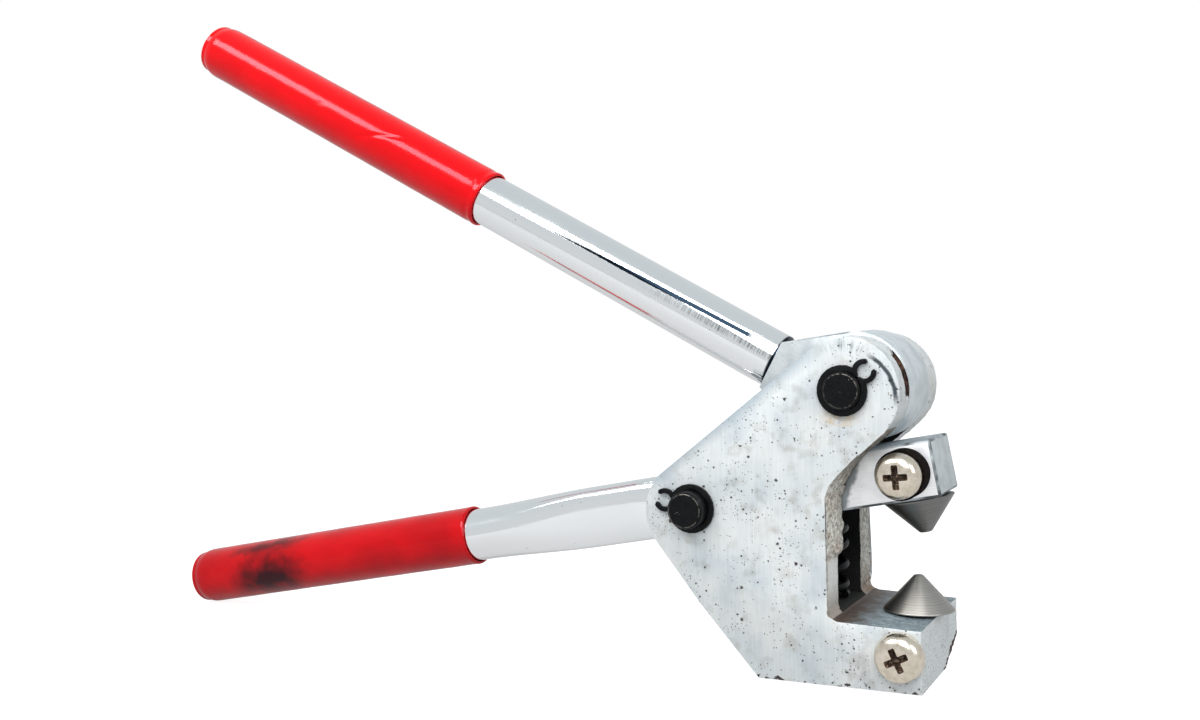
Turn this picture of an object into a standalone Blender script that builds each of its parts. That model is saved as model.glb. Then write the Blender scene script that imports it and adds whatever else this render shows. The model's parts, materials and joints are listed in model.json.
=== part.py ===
"""Compound-lever dimpling pliers: a cast C-frame, a pivoting jaw and two opposed cone dies.

Units are metres, +Z is up and the tool lies in the XZ plane.  The origin is the middle of the
frame's bottom face, +X points out of the jaws and -Y is the side with the screw heads.
"""

import math

import bmesh
import bpy
from mathutils import Matrix, Vector

MM = 0.001
GAP = 0.3 * MM  # running clearance between neighbouring pieces

# ---- driving dimensions -------------------------------------------------------------------------
FRAME_HALF = 22.0 * MM  # half the width of the cast frame
SLOT_HALF = 11.3 * MM  # half the width of the slot between the two cheeks
LEVER_HALF = 11.0 * MM  # half the width of both levers

UPPER_PIVOT = Vector((2.56 * MM, 0.0, 76.07 * MM))
LOWER_PIVOT = Vector((-39.68 * MM, 0.0, 43.81 * MM))
PIN_RADIUS = 5.0 * MM
PIN_CHAMFER = 0.6 * MM
PIN_BORE = PIN_RADIUS + GAP
UPPER_PIN_HALF = 24.6 * MM
LOWER_PIN_HALF = 27.8 * MM

JAW_OPEN = math.radians(10.69)  # tilt of the moving jaw above level when it is fully open
JAW_HALF_HEIGHT = 7.5 * MM
JAW_REACH = 64.3 * MM  # from the lower pivot to the jaw's front end
JAW_EYE = 10.0 * MM
JAW_EYE_START = 9.5 * MM  # where the bar's straight edges end
JAW_BEVEL = 0.7 * MM
TANG = (-38.0 * MM, -6.0 * MM)  # X of the tang's end and of its root
TANG_HALF_HEIGHT = 5.3 * MM
TANG_HALF_WIDTH = 3.6 * MM
JAW_DIE_BORE = (-10.0 * MM, 4.0 * MM)
HANDLE_RISE = math.radians(28.25)  # slope of the open upper handle
HANDLE_OFFSET = 6.0 * MM  # handle tube's axis below the upper pivot
UPPER_EYE = 15.0 * MM
HEEL = (-7.13 * MM, -21.35 * MM)  # centre of the heel, from the upper pivot
HEEL_RADIUS = 3.4 * MM
NECK_BACK = -13.5 * MM  # X where the neck's lower edge meets the heel
NECK_ABOVE = 7.6 * MM  # neck's edges from the tube's axis
NECK_BELOW = 8.0 * MM
LEVER_BEVEL = 2.4 * MM
SPIGOT = (22.0 * MM, 56.0 * MM)

TUBE_RADIUS = 7.9 * MM
TUBE_WALL = 1.5 * MM
TUBE_BORE = TUBE_RADIUS - TUBE_WALL
UPPER_TUBE_START = 24.3 * MM
UPPER_GRIP = (130.0 * MM, 253.7 * MM)
LOWER_TUBE_START = 11.5 * MM
LOWER_GRIP = (82.1 * MM, 195.6 * MM)
FLAT_HALF_HEIGHT = 8.8 * MM
FLAT_HALF_WIDTH = 6.0 * MM
FLAT_END = 40.0 * MM  # the pressed-flat length ends here
ROUND_START = 78.0 * MM  # and the tube is round again from here
PRESSED_STATIONS = tuple(x * MM for x in (25.0, 40.0, 48.0, 56.0, 64.0, 72.0, 78.0))
FLAT_SQUARENESS = 3.4  # 2 is an ellipse
TUBE_IN_GRIP = 4.0 * MM  # the tube's end stops this far short of the grip's
GRIP_RADIUS = 8.9 * MM
GRIP_WALL = 0.7 * MM
GRIP_NOSE = 7.5 * MM
GRIP_LIP = 0.35 * MM
GRIP_END_WALL = 3.0 * MM

LOWER_JAW_TOP = 16.2 * MM  # under the fixed die
LOWER_JAW_TOP_FRONT = 15.9 * MM
LOWER_JAW_TOP_BACK = 16.6 * MM
FRAME_FRONT = 21.6 * MM
FRAME_FOOT_BACK = -21.4 * MM
FRAME_HEEL = (-37.7 * MM, 18.3 * MM)  # corner between the foot's slope and the lower boss
THROAT_WALL = -2.6 * MM  # X of the frame's wall behind the dies
THROAT_CORNER = 2.5 * MM
THROAT_TOP = (  # XZ in millimetres, where the wall bends forward under the upper boss
    (-2.6, 48.3), (-1.45, 51.4), (1.0, 54.3), (6.3, 59.6),
)
UPPER_BOSS_FRONT = (15.0 * MM, 14.3 * MM)  # radius at the start and the end of each arc
UPPER_BOSS_BACK = (14.2 * MM, 13.6 * MM)
LOWER_BOSS = (12.7 * MM, 14.3 * MM)
BOSS_REACH = 17.0 * MM  # edges nearer to the upper pivot than this get the wide bevel
BOSS_BEVEL = 2.2 * MM
SLOT_FLOOR = 17.7 * MM
SLOT_REST = ((-53.0, 33.2), (-75.0, 33.2), (-75.0, 110.0), (30.0, 110.0))  # XZ in millimetres
SLOT_ENDS = (30.0 * MM, -28.0 * MM)  # X of the slot floor's two ends
BORE_OVER = 2.0 * MM  # how far a cutting tool passes the surface it cuts
DIE_BORE_BOTTOM = 2.5 * MM
FLOOR_BORE_TOP = 20.0 * MM
SCREW_BORE_START = 2.0 * MM
DIE_RADIUS = 9.3 * MM
DIE_RIM = 0.4 * MM
FIXED_DIE_TIP = 1.1 * MM  # radius of the flat on the point
MOVING_DIE_TIP = 1.6 * MM
DIE_SHANK = 4.0 * MM
DIE_X = 16.2 * MM
FIXED_DIE_SHANK_LENGTH = 13.0 * MM
MOVING_DIE_SHANK_LENGTH = 11.0 * MM
DIE_CLEAR = 0.5 * MM
LOWER_TIP_HEIGHT = 26.0 * MM
MOVING_DIE_REACH = 55.9 * MM
MOVING_TIP = -17.0 * MM

FIXED_SCREW_HEAD = 6.4 * MM
MOVING_SCREW_HEAD = 6.0 * MM
SCREW_HEAD_HEIGHT = 4.3 * MM
SCREW_SHANK = 3.0 * MM
CROSS_DEPTH = 2.4 * MM
CROSS_LENGTH = 7.4 * MM
CROSS_WIDTH = 1.9 * MM
CROSS_TAPER = (0.45, 1.0, 0.6)  # the recess's floor against its mouth
FIXED_CROSS_TURN = math.radians(25.0)
SCREW_TIP = 4.4 * MM  # distance of a screw's point from the middle plane
LOWER_SCREW_HEIGHT = 9.1 * MM
MOVING_SCREW_REACH = 56.5 * MM
SPACER_RADIUS = 6.5 * MM
SPACER_LENGTH = 7.0 * MM

SPRING_X = -11.3 * MM
SPRING_RADIUS = 7.4 * MM
SPRING_WIRE = 1.0 * MM
SPRING_TOP = 39.5 * MM
SPRING_TURNS = 4.6
SPRING_CLOSE_RISE = 2.45 * MM  # rise of the close turn at each end
SPRING_STEPS_PER_TURN = 12
SEAT_PIN_RADIUS = 3.0 * MM
SEAT_PIN_BOTTOM = 10.0 * MM
SEAT_PIN_TOP = 27.0 * MM

CLIP_THICKNESS = 1.0 * MM
CLIP_BORE = 4.8 * MM
CLIP_RADIUS = 6.65 * MM
CLIP_NOTCH_CENTRE = 7.75 * MM
CLIP_NOTCH_RADIUS = 1.85 * MM
CLIP_LUG_RADIUS = 3.2 * MM
CLIP_MOUTH = 40.0  # degrees from the notch's centre to each lug's tip
CLIP_TIP_ROUND = 13.0  # degrees by which the rounded tip stands out past the mouth
CLIP_SPLIT_HALF = 0.25 * MM
GROOVE_RADIUS = 4.5 * MM
CLIP_FACE = FRAME_HALF + GAP
UPPER_CLIP_TURN = math.radians(40.5)
LOWER_CLIP_TURN = math.radians(165.0)

ROUND_STEPS = 28
SMALL_STEPS = 20
DIE_STEPS = 40


# ---- helpers ------------------------------------------------------------------------------------
def clear_scene():
    for obj in list(bpy.data.objects):
        bpy.data.objects.remove(obj, do_unlink=True)


def material(name, colour, roughness, metallic):
    mat = bpy.data.materials.new(name)
    mat.use_nodes = True
    shader = mat.node_tree.nodes["Principled BSDF"]
    shader.inputs["Base Color"].default_value = (*colour, 1.0)
    shader.inputs["Roughness"].default_value = roughness
    shader.inputs["Metallic"].default_value = metallic
    return mat


def new_object(name, bm, finish=None, parent=None):
    """Turn a bmesh into a named object with outward faces and smooth round sides."""
    bmesh.ops.remove_doubles(bm, verts=bm.verts, dist=0.001 * MM)
    bmesh.ops.recalc_face_normals(bm, faces=bm.faces)
    mesh = bpy.data.meshes.new(name)
    bm.to_mesh(mesh)
    bm.free()
    mesh.shade_smooth()
    mesh.set_sharp_from_angle(angle=math.radians(35.0))
    obj = bpy.data.objects.new(name, mesh)
    bpy.context.collection.objects.link(obj)
    obj.parent = parent
    if finish:
        mesh.materials.append(finish)
    return obj


def axis_empty(name, place, turn):
    empty = bpy.data.objects.new(name, None)
    bpy.context.collection.objects.link(empty)
    empty.location = place
    empty.rotation_euler = (0.0, turn, 0.0)
    return empty


def arc(centre, radius, start, end, steps, end_radius=None):
    """Points in XZ along an arc whose radius may change evenly from start to end (degrees)."""
    end_radius = radius if end_radius is None else end_radius
    points = []
    for i in range(steps + 1):
        part = i / steps
        angle = math.radians(start + (end - start) * part)
        reach = radius + (end_radius - radius) * part
        points.append((centre[0] + reach * math.cos(angle), centre[1] + reach * math.sin(angle)))
    return points


def plate_bmesh(outline, half_width):
    """An outline in XZ, given thickness from -half_width to +half_width along Y."""
    bm = bmesh.new()
    verts = [bm.verts.new((x, -half_width, z)) for x, z in outline]
    face = bm.faces.new(verts)
    grown = bmesh.ops.extrude_face_region(bm, geom=[face])
    far = [v for v in grown["geom"] if isinstance(v, bmesh.types.BMVert)]
    bmesh.ops.translate(bm, verts=far, vec=(0.0, 2.0 * half_width, 0.0))
    return bm


def turned_bmesh(profile, axis, steps=ROUND_STEPS, ring=False):
    """Spin (along, radius) points about an axis through the origin; ring closes the profile."""
    axis = Vector(axis)
    side = Vector((0.0, 0.0, 1.0)) if abs(axis.z) < 0.5 else Vector((1.0, 0.0, 0.0))
    bm = bmesh.new()
    verts = [bm.verts.new(axis * along + side * radius) for along, radius in profile]
    pairs = list(zip(verts, verts[1:]))
    if ring:
        pairs.append((verts[-1], verts[0]))
    edges = [bm.edges.new(pair) for pair in pairs]
    bmesh.ops.spin(
        bm, geom=verts + edges, cent=(0, 0, 0), axis=axis, angle=math.tau, steps=steps, use_merge=True
    )
    bmesh.ops.remove_doubles(bm, verts=bm.verts, dist=0.001 * MM)
    return bm


def moved(bm, offset):
    bmesh.ops.translate(bm, verts=bm.verts, vec=offset)
    return bm


def cylinder_tool(name, radius, start, end, axis, place, parent=None, steps=ROUND_STEPS):
    profile = [(start, 0.0), (start, radius), (end, radius), (end, 0.0)]
    bm = moved(turned_bmesh(profile, axis, steps), place)
    return as_tool(new_object(name, bm, parent=parent))


def as_tool(obj):
    obj.hide_render = True
    obj.display_type = "WIRE"
    return obj


def combine(obj, tool, operation):
    step = obj.modifiers.new(f"{operation.lower()} {tool.name}", "BOOLEAN")
    step.operation = operation
    step.object = tool
    step.solver = "EXACT"


def weighted_bevel(obj, width, weight_of, segments=2):
    """Bevel edges by a width that depends on where each edge's middle lies."""
    bm = bmesh.new()
    bm.from_mesh(obj.data)
    layer = bm.edges.layers.float.new("bevel_weight_edge")
    for edge in bm.edges:
        middle = (edge.verts[0].co + edge.verts[1].co) / 2
        edge[layer] = weight_of(edge, middle)
    bm.to_mesh(obj.data)
    bm.free()
    step = obj.modifiers.new("edge bevel", "BEVEL")
    step.limit_method = "WEIGHT"
    step.width = width
    step.segments = segments
    step.miter_outer = "MITER_ARC"


def is_side_edge(edge, half_width):
    return all(abs(abs(v.co.y) - half_width) < 0.01 * MM for v in edge.verts) and (
        abs(edge.verts[0].co.y - edge.verts[1].co.y) < 0.01 * MM
    )


# ---- finishes -----------------------------------------------------------------------------------
def make_finishes():
    return {
        "cast": material("plated_casting", (0.62, 0.63, 0.64), 0.45, 0.7),
        "steel": material("ground_steel", (0.60, 0.61, 0.62), 0.30, 1.0),
        "chrome": material("chromed_tube", (0.80, 0.81, 0.82), 0.12, 1.0),
        "grip": material("red_vinyl", (0.76, 0.01, 0.01), 0.35, 0.0),
        "black": material("black_oxide", (0.01, 0.01, 0.012), 0.45, 0.6),
        "nickel": material("nickel_screw", (0.70, 0.64, 0.56), 0.25, 1.0),
        "die": material("turned_die_steel", (0.35, 0.35, 0.34), 0.35, 1.0),
    }


# ---- frame --------------------------------------------------------------------------------------
def frame_outline():
    upper = (UPPER_PIVOT.x, UPPER_PIVOT.z)
    lower = (LOWER_PIVOT.x, LOWER_PIVOT.z)
    corner_centre = (THROAT_WALL + THROAT_CORNER, LOWER_JAW_TOP_BACK + THROAT_CORNER)
    points = [(FRAME_FRONT, 0.0), (FRAME_FRONT, LOWER_JAW_TOP_FRONT)]
    points += arc(corner_centre, THROAT_CORNER, 270, 180, 3)
    points += [(x * MM, z * MM) for x, z in THROAT_TOP]
    points += arc(upper, UPPER_BOSS_FRONT[0], -50, 60, 11, end_radius=UPPER_BOSS_FRONT[1])
    points += arc(upper, UPPER_BOSS_BACK[0], 70, 128, 6, end_radius=UPPER_BOSS_BACK[1])
    points += arc(lower, LOWER_BOSS[0], 128, 218, 9, end_radius=LOWER_BOSS[1])
    points += [FRAME_HEEL, (FRAME_FOOT_BACK, 0.0)]
    return points


def frame_bevel(edge, middle):
    """Wide ground bevel round the upper boss, fading to a light break along the rest."""
    if not is_side_edge(edge, FRAME_HALF):
        return 0.0
    arm = middle - UPPER_PIVOT
    angle = math.degrees(math.atan2(arm.z, arm.x))
    near = math.hypot(arm.x, arm.z) < BOSS_REACH
    if near and -45 < angle < 85:
        return 1.0
    if near and 85 <= angle < 128:
        return 0.6
    return 0.2


def make_frame(finish):
    frame = new_object("frame", plate_bmesh(frame_outline(), FRAME_HALF), finish)
    weighted_bevel(frame, BOSS_BEVEL, frame_bevel)
    slot = [(x, SLOT_FLOOR) for x in SLOT_ENDS]
    slot += [(x * MM, z * MM) for x, z in SLOT_REST]
    slot_tool = as_tool(new_object("slot_tool", plate_bmesh(slot, SLOT_HALF)))
    combine(frame, slot_tool, "DIFFERENCE")
    for name, pivot in (("upper", UPPER_PIVOT), ("lower", LOWER_PIVOT)):
        reach = FRAME_HALF + BORE_OVER
        tool = cylinder_tool(f"{name}_bore_tool", PIN_BORE, -reach, reach, (0, 1, 0), pivot)
        combine(frame, tool, "DIFFERENCE")
    die_bore = cylinder_tool(
        "die_bore_tool", DIE_SHANK + GAP, DIE_BORE_BOTTOM, FLOOR_BORE_TOP, (0, 0, 1), (DIE_X, 0, 0)
    )
    combine(frame, die_bore, "DIFFERENCE")
    screw_bore = cylinder_tool(
        "screw_bore_tool", SCREW_SHANK + GAP, SCREW_BORE_START, FRAME_HALF + BORE_OVER, (0, -1, 0),
        (DIE_X, 0, LOWER_SCREW_HEIGHT), steps=SMALL_STEPS,
    )
    combine(frame, screw_bore, "DIFFERENCE")
    seat_bore = cylinder_tool(
        "seat_bore_tool", SEAT_PIN_RADIUS + GAP, SEAT_PIN_BOTTOM - GAP, FLOOR_BORE_TOP, (0, 0, 1),
        (SPRING_X, 0, 0), steps=SMALL_STEPS,
    )
    combine(frame, seat_bore, "DIFFERENCE")
    return frame


# ---- pins, clips, spring ------------------------------------------------------------------------
def pin_profile(half_length):
    """Half a pin with a clip groove and a chamfered end, mirrored to both ends."""
    groove_in = CLIP_FACE - GAP
    groove_out = CLIP_FACE + CLIP_THICKNESS + GAP
    half = [
        (groove_in, PIN_RADIUS), (groove_in, GROOVE_RADIUS), (groove_out, GROOVE_RADIUS),
        (groove_out, PIN_RADIUS), (half_length - PIN_CHAMFER, PIN_RADIUS),
        (half_length, PIN_RADIUS - PIN_CHAMFER), (half_length, 0.0),
    ]
    return [(-along, radius) for along, radius in reversed(half)] + half


def make_pin(name, pivot, half_length, finish):
    pin = new_object(name, turned_bmesh(pin_profile(half_length), (0, 1, 0)), finish)
    pin.location = pivot
    return pin


def clip_outline():
    """A retaining ring split at +X, with two hooked lugs round an open notch."""

    def crossing(radius, other):
        """Angle about the ring's centre, and about the notch's, where two circles cross."""
        x = (radius**2 - other**2 + CLIP_NOTCH_CENTRE**2) / (2 * CLIP_NOTCH_CENTRE)
        z = math.sqrt(radius**2 - x**2)
        return math.degrees(math.atan2(z, x)), math.degrees(math.atan2(z, x - CLIP_NOTCH_CENTRE))

    ring_out, lug_start = crossing(CLIP_RADIUS, CLIP_LUG_RADIUS)
    centre = (CLIP_NOTCH_CENTRE, 0.0)
    ring_in = math.degrees(math.asin(CLIP_SPLIT_HALF / CLIP_BORE))
    notch_start = 180.0 - math.degrees(math.asin(CLIP_SPLIT_HALF / CLIP_NOTCH_RADIUS))
    middle = (CLIP_NOTCH_RADIUS + CLIP_LUG_RADIUS) / 2
    tip_angle = CLIP_TIP_ROUND - CLIP_MOUTH
    tip = arc(centre, middle, tip_angle, tip_angle, 1)[0]
    points = arc((0, 0), CLIP_RADIUS, ring_out, 360 - ring_out, 20)
    points += arc(centre, CLIP_LUG_RADIUS, -lug_start, -CLIP_MOUTH, 6)[1:]
    points += [tip]
    points += arc(centre, CLIP_NOTCH_RADIUS, -CLIP_MOUTH, -notch_start, 8)
    points += arc((0, 0), CLIP_BORE, -ring_in, ring_in - 360, 22)
    points += arc(centre, CLIP_NOTCH_RADIUS, notch_start, CLIP_MOUTH, 8)
    points += [(tip[0], -tip[1])]
    points += arc(centre, CLIP_LUG_RADIUS, CLIP_MOUTH, lug_start, 6)[:-1]
    return points


def make_clip(name, pivot, side, turn, finish):
    clip = new_object(name, plate_bmesh(clip_outline(), CLIP_THICKNESS / 2), finish)
    middle = side * (CLIP_FACE + CLIP_THICKNESS / 2)
    clip.location = pivot + Vector((0.0, middle, 0.0))
    clip.rotation_euler = (0.0, -turn, 0.0)
    return clip


def spring_points():
    """Centre line of the coil: one close turn at each end, even pitch between."""
    bottom = SLOT_FLOOR + GAP + SPRING_WIRE
    top = SPRING_TOP - SPRING_WIRE
    count = round(SPRING_TURNS * SPRING_STEPS_PER_TURN)
    points = []
    for i in range(count + 1):
        turn = i / SPRING_STEPS_PER_TURN
        left = SPRING_TURNS - turn
        middle = min(max((turn - 1.0) / (SPRING_TURNS - 2.0), 0.0), 1.0)
        ends = (min(turn, 1.0) + 1.0 - min(left, 1.0)) * SPRING_CLOSE_RISE
        height = bottom + ends + middle * (top - bottom - 2 * SPRING_CLOSE_RISE)
        angle = math.tau * turn
        x = SPRING_RADIUS * math.cos(angle)
        y = SPRING_RADIUS * math.sin(angle)
        points.append((SPRING_X + x, y, height))
    return points


def make_spring(finish):
    data = bpy.data.curves.new("return_spring", "CURVE")
    data.dimensions = "3D"
    data.bevel_depth = SPRING_WIRE
    data.bevel_resolution = 1
    data.use_fill_caps = True
    points = spring_points()
    spline = data.splines.new("POLY")
    spline.points.add(len(points) - 1)
    for point, place in zip(spline.points, points):
        point.co = (*place, 1.0)
    data.materials.append(finish)
    spring = bpy.data.objects.new("return_spring", data)
    bpy.context.collection.objects.link(spring)
    return spring


def make_seat_pin(finish):
    profile = [
        (SEAT_PIN_BOTTOM, 0.0), (SEAT_PIN_BOTTOM, SEAT_PIN_RADIUS),
        (SEAT_PIN_TOP - PIN_CHAMFER, SEAT_PIN_RADIUS),
        (SEAT_PIN_TOP, SEAT_PIN_RADIUS - PIN_CHAMFER), (SEAT_PIN_TOP, 0.0),
    ]
    bm = moved(turned_bmesh(profile, (0, 0, 1), steps=SMALL_STEPS), (SPRING_X, 0, 0))
    return new_object("spring_seat_pin", bm, finish)


# ---- dies and their screws ----------------------------------------------------------------------
def die_bmesh(height, shank, tip):
    """A cone die pointing along +Z, its rim on z = 0 and its shank below."""
    profile = [
        (-shank, 0.0), (-shank, DIE_SHANK), (0.0, DIE_SHANK), (0.0, DIE_RADIUS),
        (DIE_RIM, DIE_RADIUS), (height, tip), (height, 0.0),
    ]
    return turned_bmesh(profile, (0, 0, 1), steps=DIE_STEPS)


def screw_bmesh(head_face, head):
    """A pan-head screw along -Y, its head's underside at -head_face."""
    profile = [(SCREW_TIP, 0.0), (SCREW_TIP, SCREW_SHANK), (head_face, SCREW_SHANK)]
    steps = 6
    for i in range(steps + 1):
        angle = math.radians(90 * i / steps)
        rise = SCREW_HEAD_HEIGHT * math.sin(angle) ** 0.8
        profile.append((head_face + rise, head * math.cos(angle) ** 0.55 if i < steps else 0.0))
    return turned_bmesh(profile, (0, -1, 0))


def cut_cross(screw, head_face, place, turn, parent=None):
    """Cut a tapered cross recess into a screw's head."""
    deep = head_face + SCREW_HEAD_HEIGHT - CROSS_DEPTH
    high = head_face + SCREW_HEAD_HEIGHT + 1.0 * MM
    for i in range(2):
        bm = bmesh.new()
        bmesh.ops.create_cube(bm, size=1.0)
        bmesh.ops.scale(bm, verts=bm.verts, vec=(CROSS_LENGTH, high - deep, CROSS_WIDTH))
        inner = [v for v in bm.verts if v.co.y > 0]
        bmesh.ops.scale(bm, verts=inner, vec=CROSS_TAPER)
        spin = Matrix.Rotation(-turn - i * math.pi / 2, 3, "Y")
        bmesh.ops.rotate(bm, verts=bm.verts, cent=(0, 0, 0), matrix=spin)
        moved(bm, Vector((0.0, -(deep + high) / 2, 0.0)) + Vector(place))
        tool = as_tool(new_object(f"{screw.name}_cross_tool_{i}", bm, parent=parent))
        combine(screw, tool, "DIFFERENCE")


def make_fixed_die(finishes):
    base = LOWER_JAW_TOP + DIE_CLEAR
    bm = die_bmesh(LOWER_TIP_HEIGHT - base, FIXED_DIE_SHANK_LENGTH, FIXED_DIE_TIP)
    die = new_object("fixed_die", bm, finishes["die"])
    die.location = (DIE_X, 0.0, base)
    head_face = FRAME_HALF + GAP
    place = Vector((DIE_X, 0.0, LOWER_SCREW_HEIGHT))
    screw_bm = moved(screw_bmesh(head_face, FIXED_SCREW_HEAD), place)
    screw = new_object("fixed_die_screw", screw_bm, finishes["nickel"])
    cut_cross(screw, head_face, place, FIXED_CROSS_TURN)


def make_moving_die(jaw_axis, finishes):
    base = JAW_HALF_HEIGHT + GAP
    bm = die_bmesh(-MOVING_TIP - base, MOVING_DIE_SHANK_LENGTH, MOVING_DIE_TIP)
    die = new_object("moving_die", bm, finishes["die"], jaw_axis)
    die.location = (MOVING_DIE_REACH, 0.0, -base)
    die.rotation_euler = (math.pi, 0.0, 0.0)
    place = Vector((MOVING_SCREW_REACH, 0.0, 0.0))
    spacer_in = LEVER_HALF + GAP
    spacer_out = spacer_in + SPACER_LENGTH
    bore = SCREW_SHANK + GAP
    ring = [
        (spacer_in, bore), (spacer_in, SPACER_RADIUS), (spacer_out, SPACER_RADIUS), (spacer_out, bore),
    ]
    spacer = moved(turned_bmesh(ring, (0, -1, 0), ring=True), place)
    new_object("moving_die_spacer", spacer, finishes["black"], jaw_axis)
    head_face = spacer_out + GAP
    screw_bm = moved(screw_bmesh(head_face, MOVING_SCREW_HEAD), place)
    screw = new_object("moving_die_screw", screw_bm, finishes["nickel"], jaw_axis)
    cut_cross(screw, head_face, place, 0.0, jaw_axis)


# ---- moving jaw and lower handle ----------------------------------------------------------------
def make_jaw_lever(jaw_axis, finish):
    rise = JAW_HALF_HEIGHT
    tangent = math.degrees(math.asin(rise / JAW_EYE))
    outline = [(JAW_REACH, -rise), (JAW_REACH, rise), (JAW_EYE_START, rise)]
    outline += arc((0, 0), JAW_EYE, tangent + 12, 348 - tangent, 16)
    outline += [(JAW_EYE_START, -rise)]
    jaw = new_object("jaw_lever", plate_bmesh(outline, LEVER_HALF), finish, jaw_axis)
    weighted_bevel(jaw, JAW_BEVEL, lambda edge, middle: 1.0 if edge_is_sharp(edge) else 0.0)
    high = TANG_HALF_HEIGHT
    tang = [(TANG[1], -high), (TANG[1], high), (TANG[0], high), (TANG[0], -high)]
    tang_bm = plate_bmesh(tang, TANG_HALF_WIDTH)
    combine(jaw, as_tool(new_object("tang_tool", tang_bm, parent=jaw_axis)), "UNION")
    reach = LEVER_HALF + BORE_OVER
    bore = cylinder_tool(
        "jaw_pin_bore_tool", PIN_BORE, -reach, reach, (0, 1, 0), (0, 0, 0), jaw_axis
    )
    combine(jaw, bore, "DIFFERENCE")
    die_bore = cylinder_tool(
        "moving_die_bore_tool", DIE_SHANK + GAP, *JAW_DIE_BORE, (0, 0, 1),
        (MOVING_DIE_REACH, 0, 0), jaw_axis,
    )
    combine(jaw, die_bore, "DIFFERENCE")
    screw_bore = cylinder_tool(
        "moving_screw_bore_tool", SCREW_SHANK + GAP, SCREW_BORE_START, reach, (0, -1, 0),
        (MOVING_SCREW_REACH, 0, 0), jaw_axis, steps=SMALL_STEPS,
    )
    combine(jaw, screw_bore, "DIFFERENCE")


def edge_is_sharp(edge):
    return len(edge.link_faces) == 2 and edge.calc_face_angle() > math.radians(40.0)


def section(half_width, half_height, power, count=28):
    """Points of a rounded section in YZ, from an ellipse (power 2) towards a rounded oblong."""
    points = []
    for i in range(count):
        angle = math.tau * i / count
        c = math.cos(angle)
        s = math.sin(angle)
        y = half_width * math.copysign(abs(c) ** (2 / power), c)
        z = half_height * math.copysign(abs(s) ** (2 / power), s)
        points.append((y, z))
    return points


def tube_shape(distance):
    """Half width, half height and squareness of the pressed tube at a distance from the pivot."""
    part = min(max((distance - FLAT_END) / (ROUND_START - FLAT_END), 0.0), 1.0)
    part = part * part * (3 - 2 * part)
    width = FLAT_HALF_WIDTH + (TUBE_RADIUS - FLAT_HALF_WIDTH) * part
    height = FLAT_HALF_HEIGHT + (TUBE_RADIUS - FLAT_HALF_HEIGHT) * part
    return width, height, FLAT_SQUARENESS + (2.0 - FLAT_SQUARENESS) * part


def pressed_tube_bmesh(stations, inset):
    """Loft closed rings along -X, closed with a face at both ends."""
    bm = bmesh.new()
    rings = []
    for distance in stations:
        width, height, power = tube_shape(distance)
        outline = section(width - inset, height - inset, power)
        verts = [bm.verts.new((-distance, y, z)) for y, z in outline]
        rings.append([bm.edges.new(pair) for pair in zip(verts, verts[1:] + verts[:1])])
    for first, second in zip(rings, rings[1:]):
        bmesh.ops.bridge_loops(bm, edges=first + second)
    bmesh.ops.holes_fill(bm, edges=rings[0] + rings[-1], sides=0)
    return bm


def make_lower_tube(jaw_axis, finish):
    start = LOWER_TUBE_START
    end = LOWER_GRIP[1] - TUBE_IN_GRIP
    outer = pressed_tube_bmesh([start, *PRESSED_STATIONS, end], 0.0)
    tube = new_object("lower_handle_tube", outer, finish, jaw_axis)
    inner = pressed_tube_bmesh([start - BORE_OVER, *PRESSED_STATIONS, end + BORE_OVER], TUBE_WALL)
    combine(tube, as_tool(new_object("lower_tube_bore_tool", inner, parent=jaw_axis)), "DIFFERENCE")


def grip_profile(start, end):
    """Dipped sleeve: flat floor, straight bore, rolled lip and a rounded closed end."""
    inner = GRIP_RADIUS - GRIP_WALL
    floor = end - GRIP_END_WALL
    profile = [(-floor, 0.0), (-floor, inner), (-start, inner)]
    profile += [(-start, GRIP_RADIUS - GRIP_LIP), (-start - GRIP_LIP, GRIP_RADIUS)]
    steps = 6
    for i in range(steps + 1):
        angle = math.radians(90 * i / steps)
        along = -(end - GRIP_NOSE + GRIP_NOSE * math.sin(angle))
        profile.append((along, GRIP_RADIUS - GRIP_NOSE * (1 - math.cos(angle))))
    profile.append((-end, 0.0))
    return profile


def make_grip(name, span, height, parent, finish):
    bm = turned_bmesh(grip_profile(*span), (1, 0, 0))
    return new_object(name, moved(bm, (0, 0, height)), finish, parent)


# ---- upper lever and handle ---------------------------------------------------------------------
def upper_lever_outline():
    """Round cam end, a heel that bears on the jaw lever and a neck towards the handle."""
    neck_end = -(UPPER_TUBE_START - GAP)
    top = -HANDLE_OFFSET + NECK_ABOVE
    bottom = -HANDLE_OFFSET - NECK_BELOW
    points = [(neck_end, top), (neck_end, bottom), (NECK_BACK, bottom)]
    points += arc(HEEL, HEEL_RADIUS, 170, 330, 8)
    points += arc((0, 0), UPPER_EYE, -70, 128, 20)
    return points


def upper_lever_bevel(edge, middle):
    if not edge_is_sharp(edge):
        return 0.0
    return 1.0 if middle.x < -10.0 * MM else 0.3


def make_upper_lever(upper_axis, finish):
    plate = plate_bmesh(upper_lever_outline(), LEVER_HALF)
    lever = new_object("upper_lever", plate, finish, upper_axis)
    weighted_bevel(lever, LEVER_BEVEL, upper_lever_bevel)
    spigot = cylinder_tool(
        "spigot_tool", TUBE_BORE - GAP, *SPIGOT, (-1, 0, 0), (0, 0, -HANDLE_OFFSET), upper_axis
    )
    combine(lever, spigot, "UNION")
    reach = LEVER_HALF + BORE_OVER
    bore = cylinder_tool(
        "upper_pin_bore_tool", PIN_BORE, -reach, reach, (0, 1, 0), (0, 0, 0), upper_axis
    )
    combine(lever, bore, "DIFFERENCE")


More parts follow.
